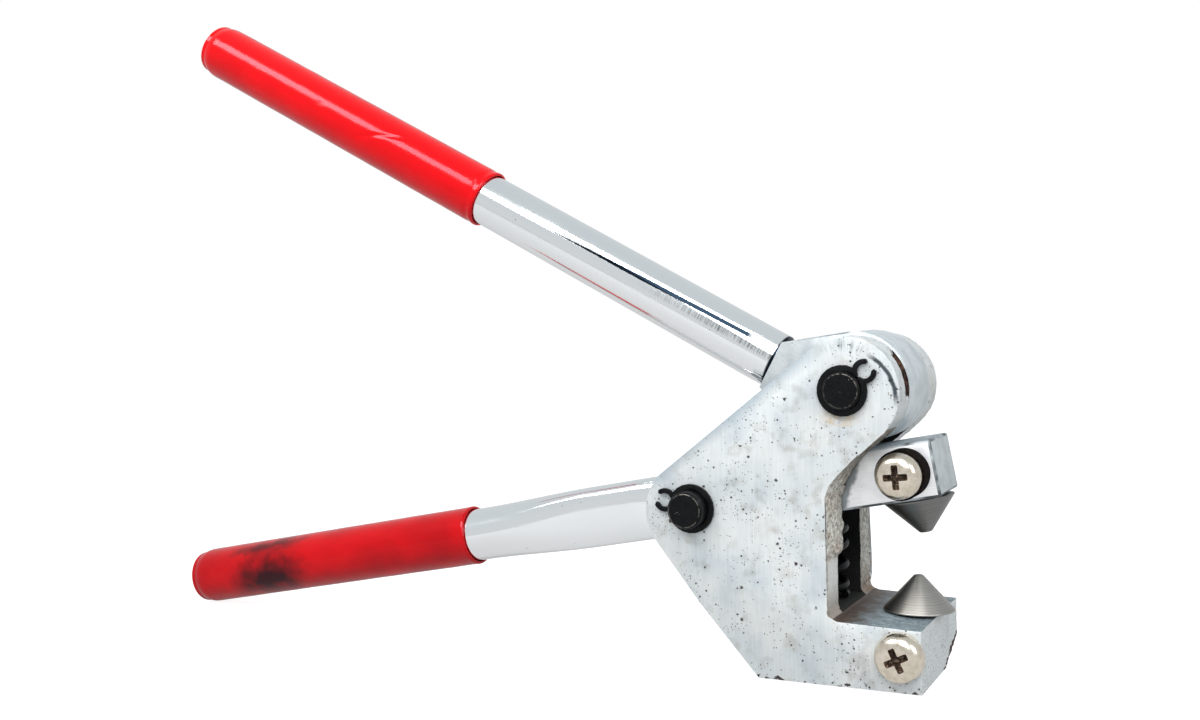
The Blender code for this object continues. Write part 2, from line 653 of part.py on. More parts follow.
def make_upper_tube(upper_axis, finish):
    end = UPPER_GRIP[1] - TUBE_IN_GRIP
    ring = [
        (-UPPER_TUBE_START, TUBE_BORE), (-UPPER_TUBE_START, TUBE_RADIUS),
        (-end, TUBE_RADIUS), (-end, TUBE_BORE),
    ]
    bm = turned_bmesh(ring, (1, 0, 0), ring=True)
    new_object("upper_handle_tube", moved(bm, (0, 0, -HANDLE_OFFSET)), finish, upper_axis)


# ---- assembly -----------------------------------------------------------------------------------
def build():
    clear_scene()
    finishes = make_finishes()
    make_frame(finishes["cast"])

    for name, pivot, half_length, turn in (
        ("upper", UPPER_PIVOT, UPPER_PIN_HALF, UPPER_CLIP_TURN),
        ("lower", LOWER_PIVOT, LOWER_PIN_HALF, LOWER_CLIP_TURN),
    ):
        make_pin(f"{name}_pivot_pin", pivot, half_length, finishes["black"])
        for label, side in (("front", -1), ("back", 1)):
            make_clip(f"{name}_clip_{label}", pivot, side, turn, finishes["black"])

    make_spring(finishes["black"])
    make_seat_pin(finishes["black"])
    make_fixed_die(finishes)

    jaw_axis = axis_empty("jaw_axis", LOWER_PIVOT, -JAW_OPEN)
    make_jaw_lever(jaw_axis, finishes["steel"])
    make_lower_tube(jaw_axis, finishes["chrome"])
    make_grip("lower_grip", LOWER_GRIP, 0.0, jaw_axis, finishes["grip"])
    make_moving_die(jaw_axis, finishes)

    upper_axis = axis_empty("upper_handle_axis", UPPER_PIVOT, HANDLE_RISE)
    make_upper_lever(upper_axis, finishes["steel"])
    make_upper_tube(upper_axis, finishes["chrome"])
    make_grip("upper_grip", UPPER_GRIP, -HANDLE_OFFSET, upper_axis, finishes["grip"])


build()
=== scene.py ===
# %% [markdown]
# # Dimpling pliers
# A pair of compound-lever pliers presses a dimple between two cone dies.  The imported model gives
# every piece its place and size.  This script keeps those places, rebuilds what shows with finer
# meshes, and gives each surface a finish.

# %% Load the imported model
import json
import math

import bmesh
import bpy
import numpy as np
from mathutils import Matrix, Vector, noise


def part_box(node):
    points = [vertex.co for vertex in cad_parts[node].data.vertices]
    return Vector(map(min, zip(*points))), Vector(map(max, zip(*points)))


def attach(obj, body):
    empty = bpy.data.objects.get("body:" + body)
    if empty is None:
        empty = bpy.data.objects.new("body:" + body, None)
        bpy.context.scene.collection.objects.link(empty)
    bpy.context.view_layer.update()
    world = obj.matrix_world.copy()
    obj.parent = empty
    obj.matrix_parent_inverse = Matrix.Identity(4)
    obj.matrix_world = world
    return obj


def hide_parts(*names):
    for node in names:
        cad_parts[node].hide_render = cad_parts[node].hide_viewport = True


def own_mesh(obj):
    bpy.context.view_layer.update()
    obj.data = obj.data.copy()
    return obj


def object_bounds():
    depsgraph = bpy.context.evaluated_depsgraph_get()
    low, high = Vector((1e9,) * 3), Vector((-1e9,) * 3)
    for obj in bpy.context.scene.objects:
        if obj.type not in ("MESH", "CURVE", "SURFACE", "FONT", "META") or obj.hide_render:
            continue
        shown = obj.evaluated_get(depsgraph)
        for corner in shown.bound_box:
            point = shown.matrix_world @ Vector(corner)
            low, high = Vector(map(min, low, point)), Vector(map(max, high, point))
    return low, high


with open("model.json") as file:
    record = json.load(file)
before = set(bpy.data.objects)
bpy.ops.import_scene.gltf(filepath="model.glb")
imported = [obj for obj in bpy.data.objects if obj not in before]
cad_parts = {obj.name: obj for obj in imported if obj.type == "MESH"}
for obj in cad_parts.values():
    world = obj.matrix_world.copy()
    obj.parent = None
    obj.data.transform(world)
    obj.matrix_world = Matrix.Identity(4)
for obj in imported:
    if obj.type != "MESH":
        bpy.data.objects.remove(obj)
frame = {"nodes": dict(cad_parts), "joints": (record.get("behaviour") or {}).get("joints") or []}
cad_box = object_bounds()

MM = 0.001
print("packed model:", [round((high - low) / MM, 1) for low, high in zip(*cad_box)], "mm")

# %% [markdown]
# ## Local spaces
# The jaw lever and the upper lever both stand at an angle.  Measuring each one along its own axis
# is easier than in the row frame, so each gets a space: X runs along the handle towards the jaws,
# Z is across it, and the origin is on its pivot.  A long grip's own direction is the direction in
# which its vertices spread most, which a singular value decomposition finds.

# %% Find the pivots and the two handle directions
pivots = {joint["name"]: Vector(joint["pos_m"]) for joint in frame["joints"]}


def long_direction(node):
    """Unit vector along a long node, pointing towards +X."""
    points = np.array([v.co for v in frame["nodes"][node].data.vertices])
    spread = np.linalg.svd(points - points.mean(0), full_matrices=False)[2][0]
    return Vector(spread * np.sign(spread[0]))


def space_along(node, pivot):
    """A space on a pivot whose X runs along a node and whose Y is the row frame's."""
    x_axis = long_direction(node)
    x_axis.y = 0.0
    x_axis.normalize()
    y_axis = Vector((0.0, 1.0, 0.0))
    z_axis = x_axis.cross(y_axis)
    turn = Matrix((x_axis, y_axis, z_axis)).transposed().to_4x4()
    return Matrix.Translation(pivot) @ turn


jaw_space = space_along("lower_grip", pivots["jaw_pivot"])
handle_space = space_along("upper_grip", pivots["handle_pivot"])
row_space = Matrix.Identity(4)


def local_box(node, space):
    """A CAD node's lowest and highest corner, measured in a space."""
    back = space.inverted()
    points = np.array([back @ v.co for v in frame["nodes"][node].data.vertices])
    return Vector(points.min(0)), Vector(points.max(0))


tube_low, tube_high = local_box("upper_handle_tube", handle_space)
tube_axis = (tube_low.z + tube_high.z) / 2
tube_space = handle_space @ Matrix.Translation((0.0, 0.0, tube_axis))
boss_space = Matrix.Translation(pivots["handle_pivot"])
print("jaw slope", round(math.degrees(math.asin(jaw_space.col[0].z)), 2), "degrees")
print("handle slope", round(math.degrees(math.asin(handle_space.col[0].z)), 2), "degrees")

# %% [markdown]
# ## Camera
# The camera stands a third of a metre off, to the right of the tool's face, and looks level.  The
# tool rests on its foot and its lower grip, which leans it one degree against the camera.

# %% Place the camera
CAMERA_PLACE = Vector((0.0990, -0.3615, 0.0971))
CAMERA_YAW = math.radians(25.97)
CAMERA_LEAN = math.radians(0.95)
LENS = 40.6           # mm
LENS_SHIFT = -0.048   # the frame is shifted down by this share of its width

camera_data = bpy.data.cameras.new("camera")
camera_data.lens = LENS
camera_data.shift_y = LENS_SHIFT
camera_data.clip_start = 0.01
camera = bpy.data.objects.new("camera", camera_data)
bpy.context.scene.collection.objects.link(camera)
turn = Matrix.Rotation(CAMERA_LEAN, 4, "Y") @ Matrix.Rotation(CAMERA_YAW, 4, "Z")
level = Matrix.Rotation(math.pi / 2, 4, "X")
camera.matrix_world = Matrix.Translation(CAMERA_PLACE) @ turn @ level
bpy.context.scene.camera = camera

# %% [markdown]
# ## Node and colour helpers
# Every finish is a small node tree.  One function turns an sRGB hex colour into the linear numbers
# that Blender works in, and one adds a node with its settings and links.  A Finish starts a
# material with coordinates in millimetres, so that every pattern's scale is one over a real size,
# and holds the base colour while layers are laid over it.

# %% Define the helpers for finishes
WHITE = (1.0, 1.0, 1.0, 1.0)


def colour(text):
    """An sRGB hex colour as linear red, green, blue and alpha."""
    parts = [int(text[i:i + 2], 16) / 255 for i in (1, 3, 5)]
    linear = [p / 12.92 if p <= 0.04045 else ((p + 0.055) / 1.055) ** 2.4 for p in parts]
    return (*linear, 1.0)


def add(tree, kind, inputs=None, stops=(), **settings):
    """Add one node.  Inputs are values or other nodes' outputs; stops are a ramp's hex colours."""
    made = tree.nodes.new("ShaderNode" + kind)
    for name, value in settings.items():
        setattr(made, name, value)
    for key, value in (inputs or {}).items():
        if isinstance(value, bpy.types.NodeSocket):
            tree.links.new(value, made.inputs[key])
        else:
            made.inputs[key].default_value = value
    if stops:
        ramp = made.color_ramp
        ramp.elements[0].position = stops[0][0]
        ramp.elements[1].position = stops[-1][0]
        for place, _ in stops[1:-1]:
            ramp.elements.new(place)
        for element, (_, tone) in zip(ramp.elements, stops):
            element.color = colour(tone)
    return made


class Finish:
    """A material that is built up in layers, with coordinates in millimetres in a space."""

    def __init__(self, name, space=row_space, **values):
        self.material = bpy.data.materials.new(name)
        self.material.use_nodes = True
        self.tree = self.material.node_tree
        self.shader = self.tree.nodes["Principled BSDF"]
        for key, value in values.items():
            self.shader.inputs[key.replace("_", " ")].default_value = value
        self.where = self.place_in(space)
        self.base = None

    def place_in(self, space):
        """Coordinates in millimetres in a space."""
        return add(self.tree, "Mapping", {
            "Vector": add(self.tree, "TexCoord").outputs["Object"],
            "Location": space.to_translation(),
            "Rotation": space.to_euler(),
            "Scale": (MM, MM, MM),
        }, vector_type="TEXTURE").outputs["Vector"]

    def parts(self, place=None):
        """The X, Y and Z of a place."""
        place = self.where if place is None else place
        return add(self.tree, "SeparateXYZ", {"Vector": place}).outputs

    def joined(self, x, z):
        """Two numbers as a vector without a Y."""
        return add(self.tree, "CombineXYZ", {"X": x, "Z": z}).outputs["Vector"]

    def calc(self, operation, *values):
        """One calculation on numbers."""
        return add(self.tree, "Math", dict(enumerate(values)), operation=operation).outputs["Value"]

    def product(self, *masks):
        """Several masks multiplied."""
        total = masks[0]
        for mask in masks[1:]:
            total = self.calc("MULTIPLY", total, mask)
        return total

    def vector(self, operation, *values, output="Vector"):
        """One calculation on vectors."""
        made = add(self.tree, "VectorMath", dict(enumerate(values)), operation=operation)
        return made.outputs[output]

    def fade(self, value, start, end, low=0.0, high=1.0):
        """A value that goes from low to high while another goes from start to end."""
        return add(self.tree, "MapRange", {"Value": value, "From Min": start, "From Max": end,
                                           "To Min": low, "To Max": high}).outputs["Result"]

    def noise(self, size, detail, place=None, output="Fac", **more):
        """Noise whose broadest bumps are about size mm wide."""
        place = self.where if place is None else place
        return add(self.tree, "TexNoise", {
            "Vector": place, "Scale": 1 / size, "Detail": detail, **more}).outputs[output]

    def stretched(self, sizes, detail, turn=0.0):
        """Noise whose bumps have a size (mm) of their own along each axis, turned about Y."""
        place = add(self.tree, "Mapping", {"Vector": self.where, "Rotation": (0.0, turn, 0.0),
                                           "Scale": [1 / size for size in sizes]})
        return self.noise(1.0, detail, place.outputs["Vector"])

    def ramp(self, value, *stops):
        """Start the base colour, from a value and hex colours at stops."""
        self.base = add(self.tree, "ValToRGB", {"Fac": value}, stops).outputs["Color"]

    def lay(self, mask, tone):
        """Lay a hex colour over the base colour where a mask is 1."""
        self.base = add(self.tree, "Mix", {0: mask, 6: self.base, 7: colour(tone)},
                        data_type="RGBA").outputs[2]

    def shade(self, value):
        """Darken or lighten the base colour by a factor."""
        self.base = add(self.tree, "Mix", {0: 1.0, 6: self.base, 7: value},
                        data_type="RGBA", blend_type="MULTIPLY").outputs[2]

    def bump(self, height, strength, depth, **under):
        """A normal tipped by a height pattern that is depth mm deep."""
        return add(self.tree, "Bump", {"Height": height, "Strength": strength,
                                       "Distance": depth * MM, **under}).outputs["Normal"]

    def wire(self, **links):
        """Link the base colour and other outputs to the shader."""
        if self.base is not None:
            links["Base_Color"] = self.base
        for key, value in links.items():
            self.tree.links.new(value, self.shader.inputs[key.replace("_", " ")])
        return self


# %% [markdown]
# ## Zinc-plated cast iron: the frame's outer faces
# The frame is cast, ground flat on both sides and then plated.  Grinding leaves fine upright
# streaks, the plating goes cloudy, and the casting's pores show as small dark pits, which gather
# in patches.  A stretched noise makes the streaks, a broad one the clouds, and a cell pattern whose
# cells are mostly switched off makes the pits.

# %% Make the plated casting
PATCH_SIZE = 9.0      # mm across a patch of crowded pits
FRONT_FACE = -20.0    # Y (mm) in front of which the grinding marks show


def pit_mask(made, size, share):
    """1 inside small round pits about size mm wide, in a share of the cells of a cell pattern."""
    bent = made.noise(size, 2.0, output="Color")
    place = made.vector("MULTIPLY_ADD", bent, (1.1 * size,) * 3, made.where)
    cell = 3.0 * size
    cells = add(made.tree, "TexVoronoi", {"Vector": place, "Scale": 1 / cell}).outputs
    chance = add(made.tree, "SeparateColor", {"Color": cells["Color"]}).outputs["Red"]
    level = made.fade(made.noise(PATCH_SIZE, 1.0), 0.42, 0.68, 0.35 * share, 2.2 * share)
    on = made.calc("LESS_THAN", chance, level)
    return made.product(on, made.fade(cells["Distance"], 0.24, 0.12))


def edge_nicks(made):
    """1 in small broken places along the frame's bottom edge."""
    ragged = made.fade(made.noise(1.6, 3.0), 0.54, 0.70)
    low = made.fade(made.parts()["Z"], 1.5, 0.5)
    return made.fade(made.product(ragged, low), 0.2, 0.5)


def plated_casting():
    """Zinc-plated, surface-ground cast iron: pale, cloudy, streaked upright and pitted."""
    made = Finish("plated_casting", Metallic=0.25, Roughness=0.5)
    clouds = made.noise(11.0, 3.0)
    made.ramp(clouds, (0.28, "#AEB7BC"), (0.46, "#C0C5C7"), (0.62, "#C8CBCB"), (0.78, "#BEC1BF"))
    # Grinding streaks are 0.1 mm wide; drawn at 0.3 mm so that they show.
    streaks = made.stretched((0.3, 0.3, 8.0), 2.0)
    made.shade(made.fade(streaks, 0.3, 0.7, 0.93, 1.03))
    made.lay(made.fade(made.noise(4.0, 5.0), 0.54, 0.72, high=0.42), "#8E8A80")
    made.lay(edge_nicks(made), "#2B231D")
    wide = pit_mask(made, 0.85, 0.07)
    pits = made.calc("MAXIMUM", pit_mask(made, 0.5, 0.26), wide)
    small = pit_mask(made, 0.3, 0.5)
    made.lay(small, "#6C6255")
    made.lay(pits, "#2E2722")
    boss_marks(made)
    depth = made.product(made.calc("MAXIMUM", pits, small), -1.0)
    pitted = made.bump(depth, 0.6, 0.1)
    grain = made.bump(streaks, 0.35, 0.03, Normal=pitted)
    return made.wire(Normal=grain, Roughness=made.fade(clouds, 0.0, 1.0, 0.42, 0.62))


def boss_marks(made):
    """Hand-grinding marks round the upper boss: a worn edge with painted shade, a dark line, radial
    cuts, a stain.
    """
    place = made.place_in(boss_space)
    x, y, z = made.parts(place)
    flat = made.joined(x, z)
    radius = made.vector("LENGTH", flat, output="Value")
    angle = made.calc("ARCTAN2", z, x)
    front = made.calc("LESS_THAN", y, FRONT_FACE)

    def between(value, start, soft, end, power=1.0):
        """Power from start to end, fading out over soft at both ends."""
        rise, fall = made.fade(value, start, start + soft), made.fade(value, end, end - soft)
        return made.product(rise, fall, power)

    # The sloping edge between the two bosses is worn round; its darker, bluer look is painted shade.
    across = made.vector("DOT_PRODUCT", flat, (-0.607, 0.0, 0.795), output="Value")
    rounded_edge_shade = made.fade(across, 9.8, 13.2, high=0.8)
    made.lay(made.product(front, rounded_edge_shade, made.fade(x, -2.0, -12.0)), "#8B98A0")
    wobble = made.noise(1.5, 3.0, place)
    # The dark line runs outwards, from 11.4 mm off the pivot at the top to 14 mm at the right.
    line = made.fade(angle, -0.25, 0.87, 14.0, 11.4)
    off = made.calc("MULTIPLY_ADD", wobble, 0.8, made.calc("SUBTRACT", radius, line))
    around = between(angle, -0.3, 0.25, 1.0, 0.95)
    made.lay(made.product(front, between(off, -0.35, 0.4, 1.15), around), "#17242E")
    cuts = add(made.tree, "CombineXYZ", {
        "X": made.product(angle, 40.0), "Y": made.product(radius, 0.12)}).outputs["Vector"]
    cut = made.fade(made.noise(1.0, 3.0, cuts), 0.42, 0.72)
    ring, around = between(radius, 9.6, 2.0, 13.6), between(angle, 0.85, 0.5, 2.2, 0.9)
    made.lay(made.product(front, cut, ring, around), "#3C4850")
    stain = made.fade(wobble, 0.3, 0.6)
    ring, around = between(radius, 6.0, 0.6, 9.6), between(angle, -2.5, 0.5, -0.9, 0.6)
    made.lay(made.product(front, stain, ring, around), "#BCA684")


# %% [markdown]
# ## Raw cast iron: the throat, the slot and the edges
# The throat was never ground.  It keeps the sand's grain, a beige-grey skin and dark pores, and the
# grime that presses into it.  The same tree, with other colours, serves the slot, whose near-black
# colour is painted shade, the sawn end of the lower jaw and the chips, where the iron broke and
# rusted.

# %% Make the raw castings
FLASH_LOW = 32.0      # height (mm) where the milled part of the throat's wall ends


def raw_casting(name, tones, grit, rust=0.0, **values):
    """Sand-cast iron skin: matt, grainy at about grit mm, darker in its hollows."""
    made = Finish(name, **{"Metallic": 0.15, "Roughness": 0.75, **values})
    grain = made.noise(grit, 6.0, Roughness=0.68)
    made.ramp(grain, *zip((0.34, 0.47, 0.66), tones))
    made.lay(pit_mask(made, 0.34, 0.3), "#2B211A")
    made.lay(made.fade(made.noise(4.0, 3.0), 0.5, 0.7, high=rust), "#7A5A3E")
    return made.wire(Normal=made.bump(grain, 0.9, 0.22))


def throat_casting():
    """The throat's skin, browner towards the jaw and darker towards its top."""
    made = raw_casting("throat_casting", ("#5E574D", "#ABA8A0", "#DEDDD8"), 1.1, rust=0.4)
    _, back, height = made.parts()
    low = made.fade(height, FLASH_LOW, FLASH_LOW - 1.0)
    deep = made.fade(back, -20.8, -20.0)
    made.lay(made.product(low, deep, made.fade(back, 0.5, -0.5, high=0.8)), "#D2D4D2")
    made.lay(made.fade(height, 25.0, 17.5, high=0.65), "#6B523C")
    made.lay(made.fade(height, 52.0, 58.0, high=0.55), "#4A4036")
    return made.wire()


def jaw_top_casting():
    """The lower jaw's milled top: pale with a cool tint, brown and dark in the throat's corner."""
    made = raw_casting("jaw_top_casting", ("#56636B", "#77858C", "#98A3A8"), 1.3,
                       Roughness=0.5, Metallic=0.4)
    edge = made.calc("MULTIPLY_ADD", made.noise(2.5, 4.0), -14.0, made.parts()["X"])
    made.lay(made.fade(edge, 2.0, -6.0, high=0.9), "#46301F")
    return made.wire()


plated = plated_casting()
throat = throat_casting()
jaw_top = jaw_top_casting()
# The slot's walls are painted near black: painted shade inside the slot.
slot_painted_shade = raw_casting("slot_painted_shade", ("#010101", "#030303", "#080807"), 1.2,
                        Roughness=0.95, Metallic=0.0)
jaw_end = raw_casting("jaw_end", ("#8C9294", "#C4C9CA", "#D6D9D8"), 0.6, rust=0.15,
                      Roughness=0.6, Metallic=0.3)
chipped = raw_casting("rusty_chip", ("#040202", "#180B08", "#6A4638"), 0.9, rust=0.12,
                      Roughness=0.9, Metallic=0.0)
castings = (plated, throat, jaw_top, slot_painted_shade, jaw_end, chipped)
print("castings:", [finish.material.name for finish in castings])

# %% [markdown]
# ## Ground steel: both levers
# The levers are bar steel, ground on their faces and sawn at their ends.  The polished face is
# almost a mirror with fine slanted scratches; on the jaw lever it is painted white, as painted light.
# The top is duller and bluer; on the jaw lever it is painted darker, as painted shade.  The sawn end
# is matt.  The jaw lever's edges, broken with a file, are painted dark, as painted shade.

# %% Make the steels
def ground_steel(name, tone, rough, turn, space, depth=0.02, cloud="#B8BFC3", metal=0.6):
    """Plain carbon steel, ground: clear reflections broken by fine parallel scratches."""
    made = Finish(name, space, Metallic=metal, Roughness=rough)
    # Scratches are a few hundredths wide; drawn at 0.25 mm so that they show.
    scratches = made.stretched((7.0, 0.25, 0.25), 3.0, turn)
    made.ramp(made.noise(5.0, 4.0), (0.38, cloud), (0.58, tone))
    made.shade(made.fade(scratches, 0.3, 0.7, 0.88, 1.0))
    made.lay(pit_mask(made, 0.25, 0.03), "#5B5750")
    return made.wire(Normal=made.bump(scratches, 0.3, depth))


def lit_jaw_face():
    """The jaw lever's face: polished in front and painted white as painted light, grey beside the
    cheek.
    """
    # The face's white base is painted light.
    made = ground_steel("lit_jaw_face", "#FFFFFF", 0.36, 0.7, jaw_space, cloud="#F4F5F6", metal=0.85)
    along, _, height = made.parts()
    edge = made.calc("MULTIPLY_ADD", made.noise(2.0, 3.0), 3.0, along)
    edge = made.calc("MULTIPLY_ADD", height, -0.55, edge)
    made.lay(made.fade(edge, 44.6, 43.4), "#8E9497")
    return made.wire()


lit_steel_face = lit_jaw_face()
# The top is painted darker and bluer and the bevels dark: painted shade.
shaded_steel_top = ground_steel("shaded_steel_top", "#BCC7CD", 0.42, 0.0, jaw_space, cloud="#9FAAB0")
steel_end = ground_steel("steel_end", "#BCC2C5", 0.6, 1.3, jaw_space, 0.12, "#AEB5B8", 0.4)
shaded_steel_edge = ground_steel("shaded_steel_edge", "#4E5357", 0.5, 0.0, jaw_space)
lever_side = ground_steel("lever_side", "#CDD2D4", 0.42, 1.2, handle_space, 0.05)
lever_rim = ground_steel("lever_rim", "#D5DBDF", 0.42, 0.3, handle_space, 0.05, "#C3CBCF")
print("steels made")

# %% [markdown]
# ## Chrome plate: the two handle tubes
# Bright chrome over drawn steel tube mirrors the studio in long bands.  Drawing the tube left a
# dark seam of chatter along the upper one, near its head, which the plating only partly covered,
# so the seam is laid on by angle round the tube and distance along it.

# %% Make the chromes
def chrome(name, space):
    """Bright chrome plate: near-white metal, very smooth, with faint smears and a few specks."""
    made = Finish(name, space, Metallic=1.0, Roughness=0.1)
    haze = made.stretched((25.0, 2.5, 2.5), 4.0)
    made.base = colour("#F4F6F7")
    made.lay(pit_mask(made, 0.3, 0.012), "#80705F")
    return made.wire(Roughness=made.fade(haze, 0.4, 0.8, 0.06, 0.2))


def seamed_chrome():
    """Chrome with the drawing seam: a dark line and a field of short cross cuts beside it."""
    made = chrome("seamed_chrome", tube_space)
    along, side, height = made.parts()
    angle = made.calc("ARCTAN2", height, made.product(side, -1.0))
    ragged = made.stretched((0.35, 5.0, 5.0), 3.0)
    # The line climbs from 19 to 31 degrees above the front as it nears the head, and thickens.
    centre = made.fade(along, -106.0, -26.0, 0.33, 0.54)
    off = made.calc("ABSOLUTE", made.calc("SUBTRACT", angle, centre))
    off = made.calc("MULTIPLY_ADD", ragged, 0.06, off)
    width = made.fade(along, -110.0, -70.0, 0.03, 0.125)
    inside = made.fade(made.calc("SUBTRACT", width, off), 0.0, 0.02)
    line = made.product(inside, made.fade(along, -24.5, -34.0))
    cuts = made.product(
        made.fade(ragged, 0.42, 0.70, high=0.7), made.fade(along, -72.0, -45.0),
        made.fade(angle, 0.06, 0.14), made.fade(angle, 0.46, 0.30))
    # Grime sits in the joint where the tube meets the lever's neck.
    joint = made.fade(along, -25.3, -24.9)
    made.lay(made.calc("MAXIMUM", made.calc("MAXIMUM", line, cuts), joint), "#16202A")
    return made.wire()


upper_chrome = seamed_chrome()
lower_chrome = chrome("lower_chrome", jaw_space)
print("chromes made")

# %% [markdown]
# ## Dipped vinyl: the two grips
# The tubes' ends were dipped in red plastisol, a soft PVC, and baked.  It is glossy and a little
# translucent.  The lower grip's red is painted darker than the upper grip's, as painted shade.  On
# the lower grip dark oil and trapped air show through, as stains that belong to places on that grip,
# so they are laid on by distance from a few points.

# %% Make the vinyls
GRIP_RADIUS = 9.0     # mm
STAINS = [  # place along the grip, degrees above the front, length, height (mm) and strength
    (-160.0, -24.0, 14.0, 7.5, 1.0),
    (-165.0, 52.0, 10.0, 3.0, 0.75),
    (-155.0, 60.0, 9.0, 3.0, 0.7),
    (-158.0, -10.0, 14.0, 8.0, 0.45),
]


def red_vinyl(name, space, tone, light):
    """Plasticised PVC, dipped: saturated red, glossy, with light going a little way in."""
    made = Finish(
        name, space, Metallic=0.0, Roughness=0.17, IOR=1.53, Specular_IOR_Level=0.3,
        Specular_Tint=colour("#FFC4D8"),
        Subsurface_Weight=0.03, Subsurface_Scale=0.6 * MM, Subsurface_Radius=(1.0, 0.10, 0.08))
    made.ramp(made.noise(12.0, 3.0), (0.35, tone), (0.65, light))
    return made.wire(Normal=made.bump(made.noise(0.6, 2.0), 0.10, 0.03))


def stained_shaded_vinyl():
    """The lower grip's red, painted deeper as painted shade, with the dark stains that show through
    its wall.
    """
    # The lower grip's deeper red tones are painted shade.
    made = red_vinyl("stained_shaded_vinyl", jaw_space, "#9E0205", "#B20306")
    bent = made.vector("SUBTRACT", made.noise(5.0, 3.0, output="Color"), (0.5, 0.5, 0.5))
    bent = made.vector("MULTIPLY_ADD", bent, (14.0, 8.0, 8.0), made.where)
    for along, angle, length, height, strength in STAINS:
        angle = math.radians(angle)
        middle = (along, -GRIP_RADIUS * math.cos(angle), GRIP_RADIUS * math.sin(angle))
        near = add(made.tree, "Mapping", {
            "Vector": bent, "Location": middle, "Scale": (length, height, height)},
            vector_type="TEXTURE").outputs["Vector"]
        far = made.vector("LENGTH", near, output="Value")
        made.lay(made.fade(far, 1.25, 0.35, high=strength), "#240304")
    return made.wire()


upper_vinyl = red_vinyl("upper_vinyl", handle_space, "#C20206", "#CC0307")
lower_vinyl = stained_shaded_vinyl()
print("vinyls made")

# %% [markdown]
# ## Black oxide, nickel and turned steel: the small parts
# The pins, rings and spring are blackened steel, which stays satin and wears to bare metal at its
# rims.  The screws are nickel-plated and slightly warm.  The dies were turned in a lathe, and the
# tool's feed leaves fine rings, which a one-dimensional noise along the axis draws.  The same steel
# is painted lighter on the lower die and darker on the upper one, as painted light and shade.

# %% Make the finishes of the small parts
FACING_FEED = 0.45    # mm; really 0.1 a turn, drawn wider so that it shows
TURNING_FEED = 0.2    # mm; really 0.1 a turn, drawn wider so that it shows
PIN_RIM = 4.4         # mm off the axis, where a pin's end meets its chamfer


def black_oxide(name, space, rings=False):
    """Chemically blackened steel: nearly black, satin, with turning rings on a pin's end."""
    made = Finish(name, space, Metallic=0.6, Roughness=0.42, Specular_IOR_Level=0.3)
    mottle = height = made.noise(0.8, 4.0)
    made.ramp(mottle, (0.35, "#060708"), (0.7, "#121315"))
    if rings:
        x, _, z = made.parts()
        radius = made.vector("LENGTH", made.joined(x, z), output="Value")
        wave = made.calc("SINE", made.product(radius, math.tau / FACING_FEED))
        height = made.calc("MULTIPLY_ADD", wave, 0.5, mottle)
        off = made.calc("ABSOLUTE", made.calc("SUBTRACT", radius, PIN_RIM))
        worn = made.fade(mottle, 0.42, 0.62, high=0.75)
        made.lay(made.product(made.fade(off, 0.16, 0.04), worn), "#77736B")
        made.lay(pit_mask(made, 0.2, 0.04), "#8A8378")
    return made.wire(Normal=made.bump(height, 0.35, 0.03))


def nickel():
    """Nickel plate on a pressed screw head: warm white metal, smooth, a little clouded."""
    made = Finish("nickel_screw", Metallic=1.0, Roughness=0.2)
    clouds = made.noise(1.5, 4.0)
    made.ramp(clouds, (0.35, "#D8CCBA"), (0.65, "#E6DCCD"))
    return made.wire(Roughness=made.fade(clouds, 0.0, 1.0, 0.14, 0.26))


def recess_brown():
    """The cross recess: nickel hardly reaches in, so it is brown with rust and old grease."""
    made = Finish("recess_brown", Metallic=0.3, Roughness=0.6)
    grain = made.noise(0.5, 4.0)
    made.ramp(grain, (0.36, "#1E130D"), (0.52, "#4B3527"), (0.7, "#9B8873"))
    return made.wire(Normal=made.bump(grain, 0.6, 0.1))


def turned_steel(name, space, tone, dark):
    """Hardened tool steel, turned: grey, with fine rings along the cone's height."""
    made = Finish(name, space, Metallic=1.0, Roughness=0.36)
    lines = made.product(made.parts()["Z"], 1 / TURNING_FEED)
    lines = made.calc("MULTIPLY_ADD", made.noise(3.0, 2.0), 0.8, lines)
    ring = add(made.tree, "TexNoise", {"W": lines, "Scale": 1.0, "Detail": 3.0},
               noise_dimensions="1D").outputs["Fac"]
    made.ramp(ring, (0.30, dark), (0.66, tone))
    return made.wire(Normal=made.bump(ring, 0.35, 0.04))


upper_pin_black = black_oxide("upper_pin_black", boss_space, rings=True)
lower_pin_space = Matrix.Translation(pivots["jaw_pivot"])
lower_pin_black = black_oxide("lower_pin_black", lower_pin_space, rings=True)
part_black = black_oxide("part_black", row_space)
sleeve_black = raw_casting("sleeve_black", ("#020202", "#0A0807", "#241A15"), 0.8,
                           Roughness=0.95, Metallic=0.0, Specular_IOR_Level=0.05)
nickel_plate = nickel()
recess = recess_brown()
# The lower die's lighter tones and the upper die's darker ones are painted light and shade.
lit_fixed_steel = turned_steel("lit_fixed_steel", row_space, "#B0ADA7", "#8A8782")
shaded_moving_steel = turned_steel("shaded_moving_steel", jaw_space, "#8A8A88", "#6D6D6B")
print("small finishes made")

# %% [markdown]
# ## Turning a bmesh into a finished piece
# Every piece is shaped in its own space.  Settling it moves its points into the row frame, leaves
# its object at the origin, makes its faces point outwards, and says which body it rides on and which
# finish it takes; it hides the imported node that it stands for.

# %% Define how a piece is settled
SHARP_ANGLE = math.radians(34.0)
BREAK_ANGLE = 0.6     # radians; edges that turn more than this can be rounded
MERGE = 0.001 * MM


def mesh_object(name, bm, finishes):
    """A scene object made from a bmesh, with its finishes."""
    mesh = bpy.data.meshes.new(name)
    bm.to_mesh(mesh)
    bm.free()
    for finish in finishes:
        mesh.materials.append(finish.material)
    made = bpy.data.objects.new(name, mesh)
    bpy.context.scene.collection.objects.link(made)
    return made


